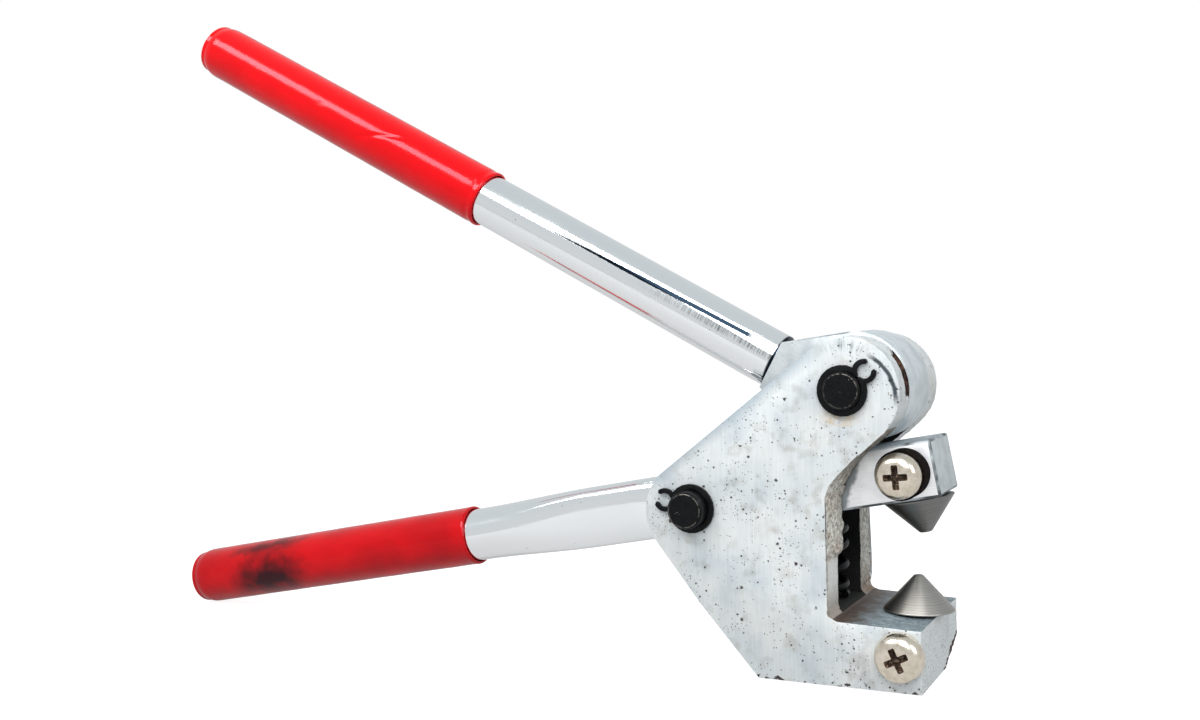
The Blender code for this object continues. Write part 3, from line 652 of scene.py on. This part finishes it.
def settle(name, bm, space, body, node, finishes):
    """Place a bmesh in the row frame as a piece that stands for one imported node."""
    bm.transform(space)
    bmesh.ops.remove_doubles(bm, verts=bm.verts, dist=2 * MERGE)
    bmesh.ops.recalc_face_normals(bm, faces=bm.faces)
    piece = mesh_object(name, bm, finishes)
    mesh = piece.data
    for layer in [a for a in mesh.attributes if a.name == "custom_normal"]:
        mesh.attributes.remove(layer)
    mesh.shade_smooth()
    mesh.set_sharp_from_angle(angle=SHARP_ANGLE)
    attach(piece, body)
    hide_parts(node)
    print(f"{name}: {len(mesh.polygons)} faces")
    return piece


def cad_copy(node, space):
    """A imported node's mesh, merged, with its flat faces made whole, measured in a space."""
    bm = bmesh.new()
    bm.from_mesh(frame["nodes"][node].data)
    bmesh.ops.remove_doubles(bm, verts=bm.verts, dist=MERGE)
    bmesh.ops.dissolve_limit(bm, angle_limit=math.radians(0.5), verts=bm.verts, edges=bm.edges)
    bm.transform(space.inverted())
    bm.normal_update()
    for face in bm.faces:
        face.material_index = 0
    return bm


def break_edges(bm, width, wanted, segments=2):
    """Round the sharp edges that a test picks."""
    edges = [e for e in bm.edges
             if len(e.link_faces) == 2 and e.calc_face_angle() > BREAK_ANGLE and wanted(e)]
    bmesh.ops.bevel(bm, geom=edges, offset=width, offset_type="OFFSET", segments=segments,
                    profile=0.5, affect="EDGES", clamp_overlap=True, material=-1)
    bm.normal_update()


def paint(bm, index, wanted):
    """Give a material number to the faces that a test picks by middle (in mm) and normal."""
    for face in bm.faces:
        if wanted(face.calc_center_median() / MM, face.normal):
            face.material_index = index


def turned(profile, axis, steps=96, ring=False):
    """Spin (along, radius) points about an axis through the origin; ring closes the profile."""
    axis = Vector(axis)
    side = Vector((0.0, 0.0, 1.0)) if abs(axis.z) < 0.5 else Vector((1.0, 0.0, 0.0))
    bm = bmesh.new()
    verts = [bm.verts.new(axis * along + side * radius) for along, radius in profile]
    pairs = list(zip(verts, verts[1:]))
    if ring:
        pairs.append((verts[-1], verts[0]))
    edges = [bm.edges.new(pair) for pair in pairs]
    bmesh.ops.spin(bm, geom=verts + edges, cent=(0, 0, 0), axis=axis, angle=math.tau, steps=steps,
                   use_merge=True)
    bmesh.ops.remove_doubles(bm, verts=bm.verts, dist=MERGE)
    return bm


def rounded(corner, before, after, radius, steps=4):
    """A profile's corner as a small curve between its two neighbours."""
    corner, before, after = Vector(corner), Vector(before), Vector(after)
    start = corner + (before - corner).normalized() * radius
    end = corner + (after - corner).normalized() * radius
    points = []
    for i in range(steps + 1):
        t = i / steps
        points.append(tuple(start * (1 - t) ** 2 + corner * 2 * t * (1 - t) + end * t ** 2))
    return points


# %% [markdown]
# ## The frame casting
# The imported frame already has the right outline, slot and bores, so a copy of it is the start.  Its
# throat is cut into a fine grid and pushed about with noise, because a casting's skin shows in
# its outline: a ragged front edge, and a scalloped tongue of flash that stands out of the upper
# half of the front cheek's wall, where the milling cutter stopped.

# %% Cut the throat's skin and push it about
SLOT_HALF = local_box("jaw_lever", jaw_space)[1].y + 0.3 * MM
FLASH_HIGH = 50.0     # height (mm) where the flash begins to fade
THROAT_TOP = 66.0     # height (mm) of the throat's highest wall
JAW_TOP = 16.5        # height (mm) below which everything is the lower jaw's end
BREAK_SIDE, BREAK_DOWN = 0.371, 0.928   # direction across the lower jaw's break
CHEEK_IN, CHEEK_OUT = 11.5, 21.8        # Y (mm) of a cheek's two faces, a little inside


def in_throat(middle, normal):
    """The walls behind and above the dies, up to the boss."""
    facing = normal.x > 0.3 and abs(normal.y) < 0.5
    return facing and -3.0 < middle.x < 14.0 and 16.0 < middle.z < THROAT_TOP


def on_boss_side(middle, normal):
    """The boss's curved side, right of the pivot."""
    arm = middle - pivots["handle_pivot"] / MM
    facing = normal.x > 0.2 and abs(normal.y) < 0.5
    return facing and arm.x > 5.0 and -13.0 < arm.z < 14.0


def on_jaw_end(middle, normal):
    """The lower jaw's sawn end and its bevels."""
    return normal.x > 0.3 and middle.x > 21.0 and middle.z < JAW_TOP


def grid_cut(bm, faces, axis, low, high, step):
    """Slice some faces with evenly spaced planes across an axis, and return the pieces."""
    normal = Vector((0.0, 0.0, 0.0))
    normal[axis] = 1.0
    place = low
    while place < high:
        edges = {e for f in faces for e in f.edges}
        verts = {v for f in faces for v in f.verts}
        cut = bmesh.ops.bisect_plane(bm, geom=[*faces, *edges, *verts], dist=MERGE,
                                     plane_co=normal * place * MM, plane_no=normal)
        faces = [g for g in cut["geom"] if isinstance(g, bmesh.types.BMFace)]
        place += step
    return faces


def smooth_step(value, low, high):
    """0 up to low, 1 from high on, and a smooth climb between them."""
    part = min(max((value - low) / (high - low), 0.0), 1.0)
    return part * part * (3.0 - 2.0 * part)


def rough(place, size):
    """Noise from -1 to 1 whose bumps are about size mm wide, from a place in mm."""
    return noise.fractal(place / size, 1.0, 2.0, 3)


def throat_push(place):
    """How far (mm) the cast skin stands out at a place in mm."""
    push = 0.24 * rough(place, 1.5) + 0.22 * rough(place + Vector((9.0, 0.0, 0.0)), 3.5)
    edge = smooth_step(abs(place.y), 20.4, 21.9)
    push += edge * (0.75 * rough(place + Vector((0.0, 40.0, 0.0)), 1.5) - 0.25)
    if place.y > 0.0:
        return push
    milled = 1.0 - smooth_step(place.z, FLASH_LOW - 1.0, FLASH_LOW + 0.5)
    push *= 1.0 - 0.75 * milled * (1.0 - edge)
    scallop = 1.1 * rough(Vector((3.0, place.y * 0.5, place.z)), 2.2)
    across = smooth_step(-place.y, 21.5, 12.5)
    upright = smooth_step(place.z + scallop, FLASH_LOW, FLASH_LOW + 1.2)
    fade = 1.0 - smooth_step(place.z, FLASH_HIGH, FLASH_HIGH + 8.0)
    lip = 0.6 * rough(Vector((7.0, 0.0, place.z)), 2.3) * smooth_step(-place.y, 14.0, 11.8)
    return push + upright * fade * (1.55 * across + lip)


def boss_push(place):
    """The chip that runs along the slot's edge on the boss's right side."""
    arm = place - pivots["handle_pivot"] / MM
    turn = math.degrees(math.atan2(arm.z, arm.x))
    along = smooth_step(turn, -12.0, 8.0) * (1.0 - smooth_step(turn, 30.0, 46.0))
    ragged = 1.0 + 0.5 * rough(place, 1.6)
    chip = smooth_step(-place.y, 17.6 - 1.4 * ragged, 13.0) if place.y < 0.0 else 0.0
    return 0.05 * rough(place, 2.0) - 2.0 * chip * along * ragged


def end_break(place):
    """How far (mm) a place lies past the ragged line of the lower jaw's broken back corner."""
    return (place.y - 7.0) * BREAK_SIDE - place.z * BREAK_DOWN + 0.8 * rough(place, 1.6)


def end_push(place):
    """The sawn end's grain, and the broken corner below it, behind."""
    return 0.10 * rough(place, 1.2) - 2.0 * smooth_step(end_break(place), 0.0, 1.4)


def push_skin(bm, wanted, push, steps):
    """Cut the faces that a test picks into a grid and push their points along their normals."""
    faces = [f for f in bm.faces if wanted(f.calc_center_median() / MM, f.normal)]
    for axis, low, high, step in steps:
        faces = grid_cut(bm, faces, axis, low, high, step)
    bm.normal_update()
    away = {}
    for face in faces:
        for vert in face.verts:
            away.setdefault(vert, Vector()).xyz += face.normal
    for vert, normal in away.items():
        normal.y = 0.0
        vert.co += normal.normalized() * push(vert.co / MM) * MM
    return len(faces)


casting = cad_copy("frame", row_space)
break_edges(casting, 0.35 * MM, lambda e: e.is_convex and all(
    abs(abs(v.co.y) - SLOT_HALF) < 0.05 * MM for v in e.verts))
cheeks = [(1, -CHEEK_OUT, -CHEEK_IN, 0.75), (1, CHEEK_IN, 22.0, 0.9)]
cut_count = push_skin(casting, in_throat, throat_push, [(2, 16.6, THROAT_TOP, 0.7), *cheeks])
cut_count += push_skin(casting, on_boss_side, boss_push,
                       [(2, 63.0, 90.0, 0.8), (1, -CHEEK_OUT, -CHEEK_IN, 0.6)])
cut_count += push_skin(casting, on_jaw_end, end_push, [(2, 0.6, 15.8, 0.8), (1, -21.2, 21.9, 0.9)])
print("cast skin:", cut_count, "faces in the grid")

# %% Sort the frame's faces by finish and settle it
casting.normal_update()
THROAT, SLOT, JAW_FLOOR, SAWN, CHIPPED = range(1, 6)   # places in the list of finishes below
paint(casting, THROAT, lambda m, n: abs(n.y) < 0.6 and -4.0 < m.x < 15.0 and n.x > -0.2 and (
    15.9 < m.z < (THROAT_TOP if m.y < 0.0 else FLASH_HIGH)))
# The slot's walls take the near-black painted shade.
paint(casting, SLOT, lambda m, n: abs(m.y) < 11.7 and 17.0 < m.z and (abs(n.y) > 0.7 or n.z > 0.5))
paint(casting, JAW_FLOOR, lambda m, n: n.z > 0.8 and m.x > -1.5 and m.z < 17.5 and abs(n.y) < 0.5)
paint(casting, SAWN, lambda m, n: n.x > 0.6 and m.x > 19.0 and m.z < JAW_TOP)
paint(casting, CHIPPED, lambda m, n: (
    m.x > 10.0 and m.z > THROAT_TOP and -17.5 < m.y < -11.0 and boss_push(m) < -0.3))
paint(casting, CHIPPED, lambda m, n: (
    n.x > 0.2 and m.x > 19.0 and m.z < 16.0 and end_break(m) > -1.4))
settle("frame_casting", casting, row_space, "frame", "frame",
       [plated, throat, slot_painted_shade, jaw_top, jaw_end, chipped])

# %% [markdown]
# ## The two levers
# Both levers are bar steel, and the imported model already has their outlines and bevels.  So copies
# do, with their faces sorted: the ground sides, the jaw lever's painted white as painted light, the
# top, painted darker as painted shade, the sawn end and the bevels, painted dark as painted shade.

# %% Make the jaw lever and the upper lever
FLAT = 0.97           # a face counts as flat when its normal is this close to an axis
jaw_bar = cad_copy("jaw_lever", jaw_space)
TOP, END, UNDER, BEVEL = range(1, 5)   # places in the list of finishes below
paint(jaw_bar, BEVEL, lambda m, n: max(abs(n.x), abs(n.y), abs(n.z)) < FLAT)
paint(jaw_bar, TOP, lambda m, n: n.z > FLAT)
paint(jaw_bar, END, lambda m, n: n.x > FLAT and m.x > 50.0)
paint(jaw_bar, UNDER, lambda m, n: n.z < -FLAT)
# The face is painted light; the top, underside and bevels are painted shade.
settle("jaw_bar", jaw_bar, jaw_space, "jaw", "jaw_lever",
       [lit_steel_face, shaded_steel_top, steel_end, shaded_steel_top, shaded_steel_edge])

upper_bar = cad_copy("upper_lever", handle_space)
# The neck narrows at its end, so that the tube's mouth covers it.
for vert in upper_bar.verts:
    off_axis = Vector((0.0, vert.co.y, vert.co.z - tube_axis))
    if abs(vert.co.x - tube_high.x) < 2.0 * MM and off_axis.length > 7.0 * MM:
        vert.co.y *= 0.76
        vert.co.z = tube_axis + off_axis.z * 0.9
paint(upper_bar, 1, lambda m, n: abs(n.y) < 0.9)
settle("upper_bar", upper_bar, handle_space, "upper_handle", "upper_lever",
       [lever_side, lever_rim])

# %% [markdown]
# ## The upper handle
# A drawn tube is a spun ring with a small round on each end's edges.

# %% Turn the upper tube
TUBE_WALL = 1.5 * MM
TUBE_RADIUS = tube_high.y


def tube_profile(start, end, outer, inner, round_off):
    """A tube's closed profile with rounded outer corners."""
    corners = [(start, inner), (start, outer), (end, outer), (end, inner)]
    near = rounded(corners[1], corners[0], corners[2], round_off)
    far = rounded(corners[2], corners[1], corners[3], round_off)
    return [corners[0], *near, *far, corners[3]]


upper_profile = tube_profile(tube_low.x, tube_high.x, TUBE_RADIUS, TUBE_RADIUS - TUBE_WALL,
                             0.3 * MM)
upper_tube = turned(upper_profile, (1, 0, 0), ring=True)
settle("upper_tube", upper_tube, tube_space, "upper_handle", "upper_handle_tube",
       [upper_chrome])

# %% [markdown]
# ## The lower handle
# Its tube was squeezed flat near the frame.  Rings of a section that goes from a rounded oblong to
# a circle are bridged into a skin, outside and inside, and the two ends are bridged as well.

# %% Loft the pressed tube
FLAT_END = 40.0 * MM
ROUND_START = 78.0 * MM
FLAT_HALF_WIDTH = 6.0 * MM
lower_low, lower_high = local_box("lower_handle_tube", jaw_space)
FLAT_HALF_HEIGHT = lower_high.z
SECTION_POINTS = 96


def pressed_section(bm, along, inset):
    """One closed ring of edges at a distance along the tube."""
    part = smooth_step(-along, FLAT_END, ROUND_START)
    width = FLAT_HALF_WIDTH + (TUBE_RADIUS - FLAT_HALF_WIDTH) * part - inset
    height = FLAT_HALF_HEIGHT + (TUBE_RADIUS - FLAT_HALF_HEIGHT) * part - inset
    power = 2.0 / (3.4 - 1.4 * part)
    made = bmesh.ops.create_circle(bm, segments=SECTION_POINTS, radius=1.0)["verts"]
    for vert in made:
        y, z = vert.co.x, vert.co.y
        vert.co = (along, width * math.copysign(abs(y) ** power, y),
                   height * math.copysign(abs(z) ** power, z))
    return list({e for v in made for e in v.link_edges})


tube_bm = bmesh.new()
stops_along = [lower_high.x, lower_high.x - 0.3 * MM, -25.0 * MM, -FLAT_END]
stops_along += [-FLAT_END - (ROUND_START - FLAT_END) * i / 16 for i in range(1, 17)]
stops_along += [lower_low.x]
outside = [pressed_section(tube_bm, x, 0.15 * MM if i == 0 else 0.0)
           for i, x in enumerate(stops_along)]
inside = [pressed_section(tube_bm, x, TUBE_WALL) for x in stops_along]
for first, second in [*zip(outside, outside[1:]), *zip(inside, inside[1:]),
                      (outside[0], inside[0]), (outside[-1], inside[-1])]:
    bmesh.ops.bridge_loops(tube_bm, edges=first + second)
settle("lower_tube", tube_bm, jaw_space, "jaw", "lower_handle_tube", [lower_chrome])

# %% [markdown]
# ## The dipped grips
# A grip is a spun sleeve with a closed round end and a rolled lip.  The dip left a shallow groove
# behind the lip, and handling left two creases on the upper grip, which are pushed into the mesh.

# %% Spin the grips and crease the upper one
GRIP_NOSE = 7.5 * MM
GRIP_WALL = 0.7 * MM
GRIP_RINGS = 90
NOSE_STEPS = 16


def grip_sleeve(low, high, creases, groove):
    """A sleeve from its lip at high.x to its closed end at low.x; groove is the groove's depth."""
    radius = high.y
    inner = radius - GRIP_WALL
    floor = low.x + 3.0 * MM
    profile = [(floor, 0.0), (floor, inner), (high.x, inner)]
    lip = [(0.0, 0.45), (0.12, 0.18), (0.45, 0.0), (0.95, 0.0)]
    lip += [(a, r * groove) for a, r in ((1.35, 0.12), (1.9, 0.30), (2.5, 0.22), (3.3, 0.05))]
    profile += [(high.x - a * MM, radius - r * MM) for a, r in lip]
    straight = high.x - 4.0 * MM
    nose = low.x + GRIP_NOSE
    profile += [(straight + (nose - straight) * i / GRIP_RINGS, radius)
                for i in range(GRIP_RINGS + 1)]
    for i in range(1, NOSE_STEPS + 1):
        angle = math.pi / 2 * i / NOSE_STEPS
        reach = radius - GRIP_NOSE * (1 - math.cos(angle)) if i < NOSE_STEPS else 0.0
        profile.append((nose - GRIP_NOSE * math.sin(angle), reach))
    bm = turned(profile, (1, 0, 0), steps=112)
    for vert in bm.verts:
        around = Vector((0.0, vert.co.y, vert.co.z))
        if around.length < radius * 0.93 or vert.co.x > high.x - 3.0 * MM:
            continue
        angle = math.degrees(math.atan2(vert.co.z, -vert.co.y))
        sink = 0.05 + 0.05 * rough(vert.co / MM, 9.0)
        for start, lean, first, last, depth in creases:
            line = start + lean * (angle - first) ** 1.5 if angle > first else start
            close = math.exp(-((vert.co.x / MM - line) / 0.9) ** 2)
            ends = smooth_step(angle, first, first + 6.0), smooth_step(angle, last, last - 8.0)
            sink += depth * close * ends[0] * ends[1]
        vert.co -= around.normalized() * sink * MM
    return bm


grip_low, grip_high = local_box("upper_grip", tube_space)
# Each crease: place (mm along), lean, first and last angle above the front, and depth (mm).
upper_creases = [(-196.8, 0.0, 6.0, 26.0, 0.20), (-178.0, 0.045, -12.0, 42.0, 0.32)]
upper_sleeve = grip_sleeve(grip_low, grip_high, upper_creases, 0.8)
settle("upper_sleeve", upper_sleeve, tube_space, "upper_handle", "upper_grip",
       [upper_vinyl])
grip_low, grip_high = local_box("lower_grip", jaw_space)
lower_creases = [(-118.0, 0.02, -30.0, 20.0, 0.08)]
lower_sleeve = grip_sleeve(grip_low, grip_high, lower_creases, 0.15)
settle("lower_sleeve", lower_sleeve, jaw_space, "jaw", "lower_grip", [lower_vinyl])

# %% [markdown]
# ## Pins and retaining rings
# A pin is a spun profile with a groove near each end for its ring, a chamfer, and the small pit
# that the lathe's centre left.  The ring is stamped from sheet, so a copy with broken edges does.

# %% Spin the pins and round the rings
def pin_bmesh(half_length, radius, pit):
    """A pin along Y, the same at both ends."""
    chamfer = 0.6 * MM
    groove = (22.0 * MM, 23.6 * MM)
    floor = radius - 0.5 * MM
    half = [(groove[0], radius), (groove[0], floor), (groove[1], floor), (groove[1], radius)]
    side, end = (half_length - chamfer, radius), (half_length, radius - chamfer)
    half += rounded(side, (groove[1], radius), end, 0.15 * MM)
    half += rounded(end, side, (half_length, 0.0), 0.15 * MM)
    half += [(half_length, pit), (half_length - pit * 0.7, 0.0)]
    return turned([(-along, reach) for along, reach in reversed(half)] + half, (0, 1, 0))


for label, joint, finish, pit in (("upper", "handle_pivot", upper_pin_black, 0.4 * MM),
                                  ("lower", "jaw_pivot", lower_pin_black, 0.25 * MM)):
    space = Matrix.Translation(pivots[joint])
    low, high = local_box(f"{label}_pivot_pin", space)
    settle(f"{label}_pin", pin_bmesh(high.y, high.z, pit), space, "frame",
           f"{label}_pivot_pin", [finish])
    for side in ("front", "back"):
        ring = cad_copy(f"{label}_clip_{side}", row_space)
        break_edges(ring, 0.18 * MM, lambda e: abs(e.verts[0].co.y - e.verts[1].co.y) < 0.05 * MM)
        settle(f"{label}_ring_{side}", ring, row_space, "frame",
               f"{label}_clip_{side}", [part_black])

# %% [markdown]
# ## The return spring
# A spring is a wire circle swept along a helix, which the spin operator does when each step also
# moves along the axis.  One close turn at each end lets it stand square.  It shortens when the
# jaw comes down.

# %% Sweep the spring
WIRE_RADIUS = 1.0 * MM
CLOSE_RISE = 2.45 * MM
OPEN_TURNS = 2.6
STEPS_PER_TURN = 48
spring_low, spring_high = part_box("return_spring")
spring_x = (spring_low.x + spring_high.x) / 2
coil_radius = (spring_high.x - spring_low.x) / 2 - WIRE_RADIUS
open_rise = spring_high.z - spring_low.z - 2 * WIRE_RADIUS - 2 * CLOSE_RISE


def cap(bm, ring):
    """Close the wire's end."""
    bmesh.ops.holes_fill(bm, edges=[g for g in ring if isinstance(g, bmesh.types.BMEdge)], sides=0)


spring = bmesh.new()
wire_ring = bmesh.ops.create_circle(spring, segments=16, radius=WIRE_RADIUS)["verts"]
bmesh.ops.rotate(spring, verts=wire_ring, cent=(0, 0, 0),
                 matrix=Matrix.Rotation(math.pi / 2, 3, "X"))
bmesh.ops.translate(spring, verts=wire_ring,
                    vec=(spring_x + coil_radius, 0.0, spring_low.z + WIRE_RADIUS))
last = wire_ring + list({e for v in wire_ring for e in v.link_edges})
cap(spring, last)
last = [g for g in last if g.is_valid]
for turns, rise in ((1.0, CLOSE_RISE), (OPEN_TURNS, open_rise), (1.0, CLOSE_RISE)):
    steps = round(turns * STEPS_PER_TURN)
    swept = bmesh.ops.spin(spring, geom=last, cent=(spring_x, 0, 0), axis=(0, 0, 1),
                           dvec=(0, 0, rise / steps), angle=math.tau * turns, steps=steps)
    last = [g for g in swept["geom_last"] if not isinstance(g, bmesh.types.BMFace)]
cap(spring, last)
coil = settle("spring_coil", spring, row_space, "frame", "return_spring",
              [part_black])
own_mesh(coil)

# %% [markdown]
# ## Dies
# Both dies are turned cones on a shank, with a thin rim and a flat, slightly rounded point.

# %% Turn the dies
def middle_shift(low, high):
    """A shift along X to the middle of a box."""
    return Matrix.Translation(((low.x + high.x) / 2, 0.0, 0.0))


def die_bmesh(bottom, base, tip, rim_radius, tip_radius):
    """A cone die pointing along +Z from its base, with a shank below."""
    shank = 4.0 * MM
    rim = base + 0.4 * MM
    profile = [(bottom, 0.0), (bottom, shank), (base, shank), (base, rim_radius - 0.3 * MM),
               (base + 0.12 * MM, rim_radius)]
    profile += rounded((rim, rim_radius), (base, rim_radius), (tip, tip_radius), 0.15 * MM)
    profile += rounded((tip, tip_radius), (rim, rim_radius), (tip, 0.0), 0.35 * MM)
    profile += [(tip - 0.12 * MM, tip_radius * 0.35), (tip - 0.2 * MM, 0.0)]
    return turned(profile, (0, 0, 1), steps=144)


die_low, die_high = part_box("fixed_die")
die_place = middle_shift(die_low, die_high)
lower_cone = die_bmesh(die_low.z, die_high.z - 9.3 * MM, die_high.z, die_high.y, 1.1 * MM)
settle("lower_cone", lower_cone, die_place, "frame", "fixed_die", [lit_fixed_steel])

die_low, die_high = local_box("moving_die", jaw_space)
flip = middle_shift(die_low, die_high) @ Matrix.Rotation(math.pi, 4, "X")
upper_cone = die_bmesh(-die_high.z, -die_low.z - 9.2 * MM, -die_low.z, die_high.y, 1.6 * MM)
settle("upper_cone", upper_cone, jaw_space @ flip, "jaw", "moving_die", [shaded_moving_steel])

# %% [markdown]
# ## Screws and spacer
# A pan head is a spun dome.  The cross recess is two tapered bars taken away by Boolean modifiers,
# which carry the bars' own brown finish onto the faces that they cut.

# %% Turn the screws and cut their recesses
HEAD_HEIGHT = 4.3 * MM
SCREW_SHANK = 3.0 * MM
RECESS_DEPTH = 2.4 * MM
BAR_SIZE = (7.6 * MM, 3.4 * MM, 1.95 * MM)
DOME_STEPS = 20


def cross_bar(name, top, turn, space):
    """One tapered bar of the recess cutter, in the recess's finish."""
    bm = bmesh.new()
    bmesh.ops.create_cube(bm, size=1.0)
    bmesh.ops.scale(bm, verts=bm.verts, vec=BAR_SIZE)
    inner = [v for v in bm.verts if v.co.y > 0]
    bmesh.ops.scale(bm, verts=inner, vec=(0.5, 1.0, 0.62))
    upright = [e for e in bm.edges if abs(e.verts[0].co.y - e.verts[1].co.y) > 1 * MM]
    bmesh.ops.bevel(bm, geom=upright, offset=0.35 * MM, segments=3, profile=0.5, affect="EDGES",
                    material=-1)
    bmesh.ops.rotate(bm, verts=bm.verts, cent=(0, 0, 0), matrix=Matrix.Rotation(-turn, 3, "Y"))
    bmesh.ops.translate(bm, verts=bm.verts, vec=(0.0, RECESS_DEPTH - BAR_SIZE[1] / 2 - top, 0.0))
    bm.transform(space)
    return mesh_object(name, bm, [recess])


def pan_screw(name, node, space, body, turn):
    """A pan-head screw along -Y with its cross recess cut."""
    low, high = local_box(node, space)
    radius = high.x
    under = -low.y - HEAD_HEIGHT
    profile = [(-high.y, 0.0), (-high.y, SCREW_SHANK), (under, SCREW_SHANK),
               (under, radius - 0.25 * MM)]
    for i in range(DOME_STEPS + 1):
        angle = math.pi / 2 * i / DOME_STEPS
        reach = radius * math.cos(angle) ** 0.55 if i < DOME_STEPS else 0.0
        profile.append((under + HEAD_HEIGHT * math.sin(angle) ** 0.8, reach))
    screw = settle(name, turned(profile, (0, -1, 0)), space, body, node,
                   [nickel_plate])
    bars = [cross_bar(f"{name}_bar_{i}", -low.y, turn + i * math.pi / 2, space) for i in range(2)]
    for bar in bars:
        step = screw.modifiers.new(f"cut {bar.name}", "BOOLEAN")
        step.operation = "DIFFERENCE"
        step.object = bar
        step.solver = "EXACT"
        step.material_mode = "TRANSFER"
    evaluated = screw.evaluated_get(bpy.context.evaluated_depsgraph_get())
    cut = bpy.data.meshes.new_from_object(evaluated)
    screw.modifiers.clear()
    screw.data = cut
    cut.set_sharp_from_angle(angle=SHARP_ANGLE)
    for bar in bars:
        bpy.data.objects.remove(bar)
    print(f"{name}: {len(cut.polygons)} faces with its recess")
    return screw


screw_low, screw_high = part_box("fixed_die_screw")
screw_middle = (screw_low + screw_high) / 2
screw_place = Matrix.Translation((screw_middle.x, 0.0, screw_middle.z))
pan_screw("lower_screw", "fixed_die_screw", screw_place, "frame", math.radians(25.0))
screw_low, screw_high = local_box("moving_die_screw", jaw_space)
screw_place = middle_shift(screw_low, screw_high)
pan_screw("upper_screw", "moving_die_screw", jaw_space @ screw_place, "jaw", math.radians(-6.0))

sleeve_low, sleeve_high = local_box("moving_die_spacer", jaw_space)
sleeve_profile = tube_profile(-sleeve_high.y, -sleeve_low.y, sleeve_high.z, SCREW_SHANK + 0.3 * MM,
                              0.25 * MM)
sleeve = turned(sleeve_profile, (0, -1, 0), ring=True)
settle("spacer_sleeve", sleeve, jaw_space @ screw_place, "jaw", "moving_die_spacer",
       [sleeve_black])

# %% [markdown]
# ## The seat pin
# Hardly any of it shows inside the coil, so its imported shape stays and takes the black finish.

# %% Finish the seat pin
seat = frame["nodes"]["spring_seat_pin"]
seat.data.materials.clear()
seat.data.materials.append(part_black.material)

# %% [markdown]
# ## Studio
# The tool is lit as in a product shot: a large soft box in front on the right, a wide strip in
# front on the left, which both draw the long highlights on the round parts, and a small soft box
# on the right for the sawn ends.  The world stands for white card all round, a little greyer
# overhead, and is plain white where the camera sees it.  The floor is mostly lit from itself, so
# that hardly any shadow lies on it.

# %% Light the set
AIM = Vector((-0.08, 0.0, 0.10))


def soft_box(name, place, width, height, watts):
    """A rectangular light aimed at the tool, which the camera does not see."""
    light = bpy.data.lights.new(name, "AREA")
    light.shape = "RECTANGLE"
    light.size = width
    light.size_y = height
    light.energy = watts
    lamp = bpy.data.objects.new(name, light)
    lamp.location = place
    lamp.rotation_euler = (AIM - place).to_track_quat("-Z", "Y").to_euler()
    lamp.visible_camera = False
    bpy.context.scene.collection.objects.link(lamp)


soft_box("key_soft_box", Vector((0.20, -0.74, 0.80)), 0.50, 0.70, 7.5)
soft_box("left_strip", Vector((-0.45, -0.62, 0.78)), 0.55, 0.28, 6.0)
soft_box("right_soft_box", Vector((0.75, -0.38, 0.50)), 0.40, 0.40, 2.6)

world = bpy.data.worlds.new("studio")
bpy.context.scene.world = world
world.use_nodes = True
sky = world.node_tree
sky.nodes.clear()
rise = add(sky, "SeparateXYZ", {"Vector": add(sky, "TexCoord").outputs["Generated"]}).outputs["Z"]
rise = add(sky, "MapRange", {"Value": rise, "From Min": -1.0, "From Max": 1.0}).outputs["Result"]
card = add(sky, "ValToRGB", {"Fac": rise}, [
    (0.0, "#DDDFE0"), (0.5, "#E2E4E5"), (0.62, "#DFE3E5"), (0.85, "#DAE0E3"),
    (1.0, "#D6DDE1")]).outputs["Color"]
lit = add(sky, "Background", {"Color": card, "Strength": 0.9}).outputs["Background"]
plain = add(sky, "Background", {"Color": WHITE, "Strength": 1.0}).outputs["Background"]
seen = add(sky, "LightPath").outputs["Is Camera Ray"]
both = add(sky, "MixShader", {0: seen, 1: lit, 2: plain}).outputs["Shader"]
add(sky, "OutputWorld", {"Surface": both})

floor_bm = bmesh.new()
bmesh.ops.create_circle(floor_bm, cap_ends=True, segments=96, radius=1.5)
bmesh.ops.translate(floor_bm, verts=floor_bm.verts, vec=(0.0, 0.0, cad_box[0].z - 0.3 * MM))
paper = Finish("floor_paper", Roughness=0.9, Base_Color=colour("#8C8C8C"))
paper.shader.inputs["Emission Color"].default_value = WHITE
seen = add(paper.tree, "LightPath").outputs["Is Camera Ray"]
paper.wire(Emission_Strength=paper.fade(seen, 0.0, 1.0, 0.32, 0.90))
mesh_object("floor", floor_bm, [paper])
bpy.context.scene.view_settings.view_transform = "Standard"
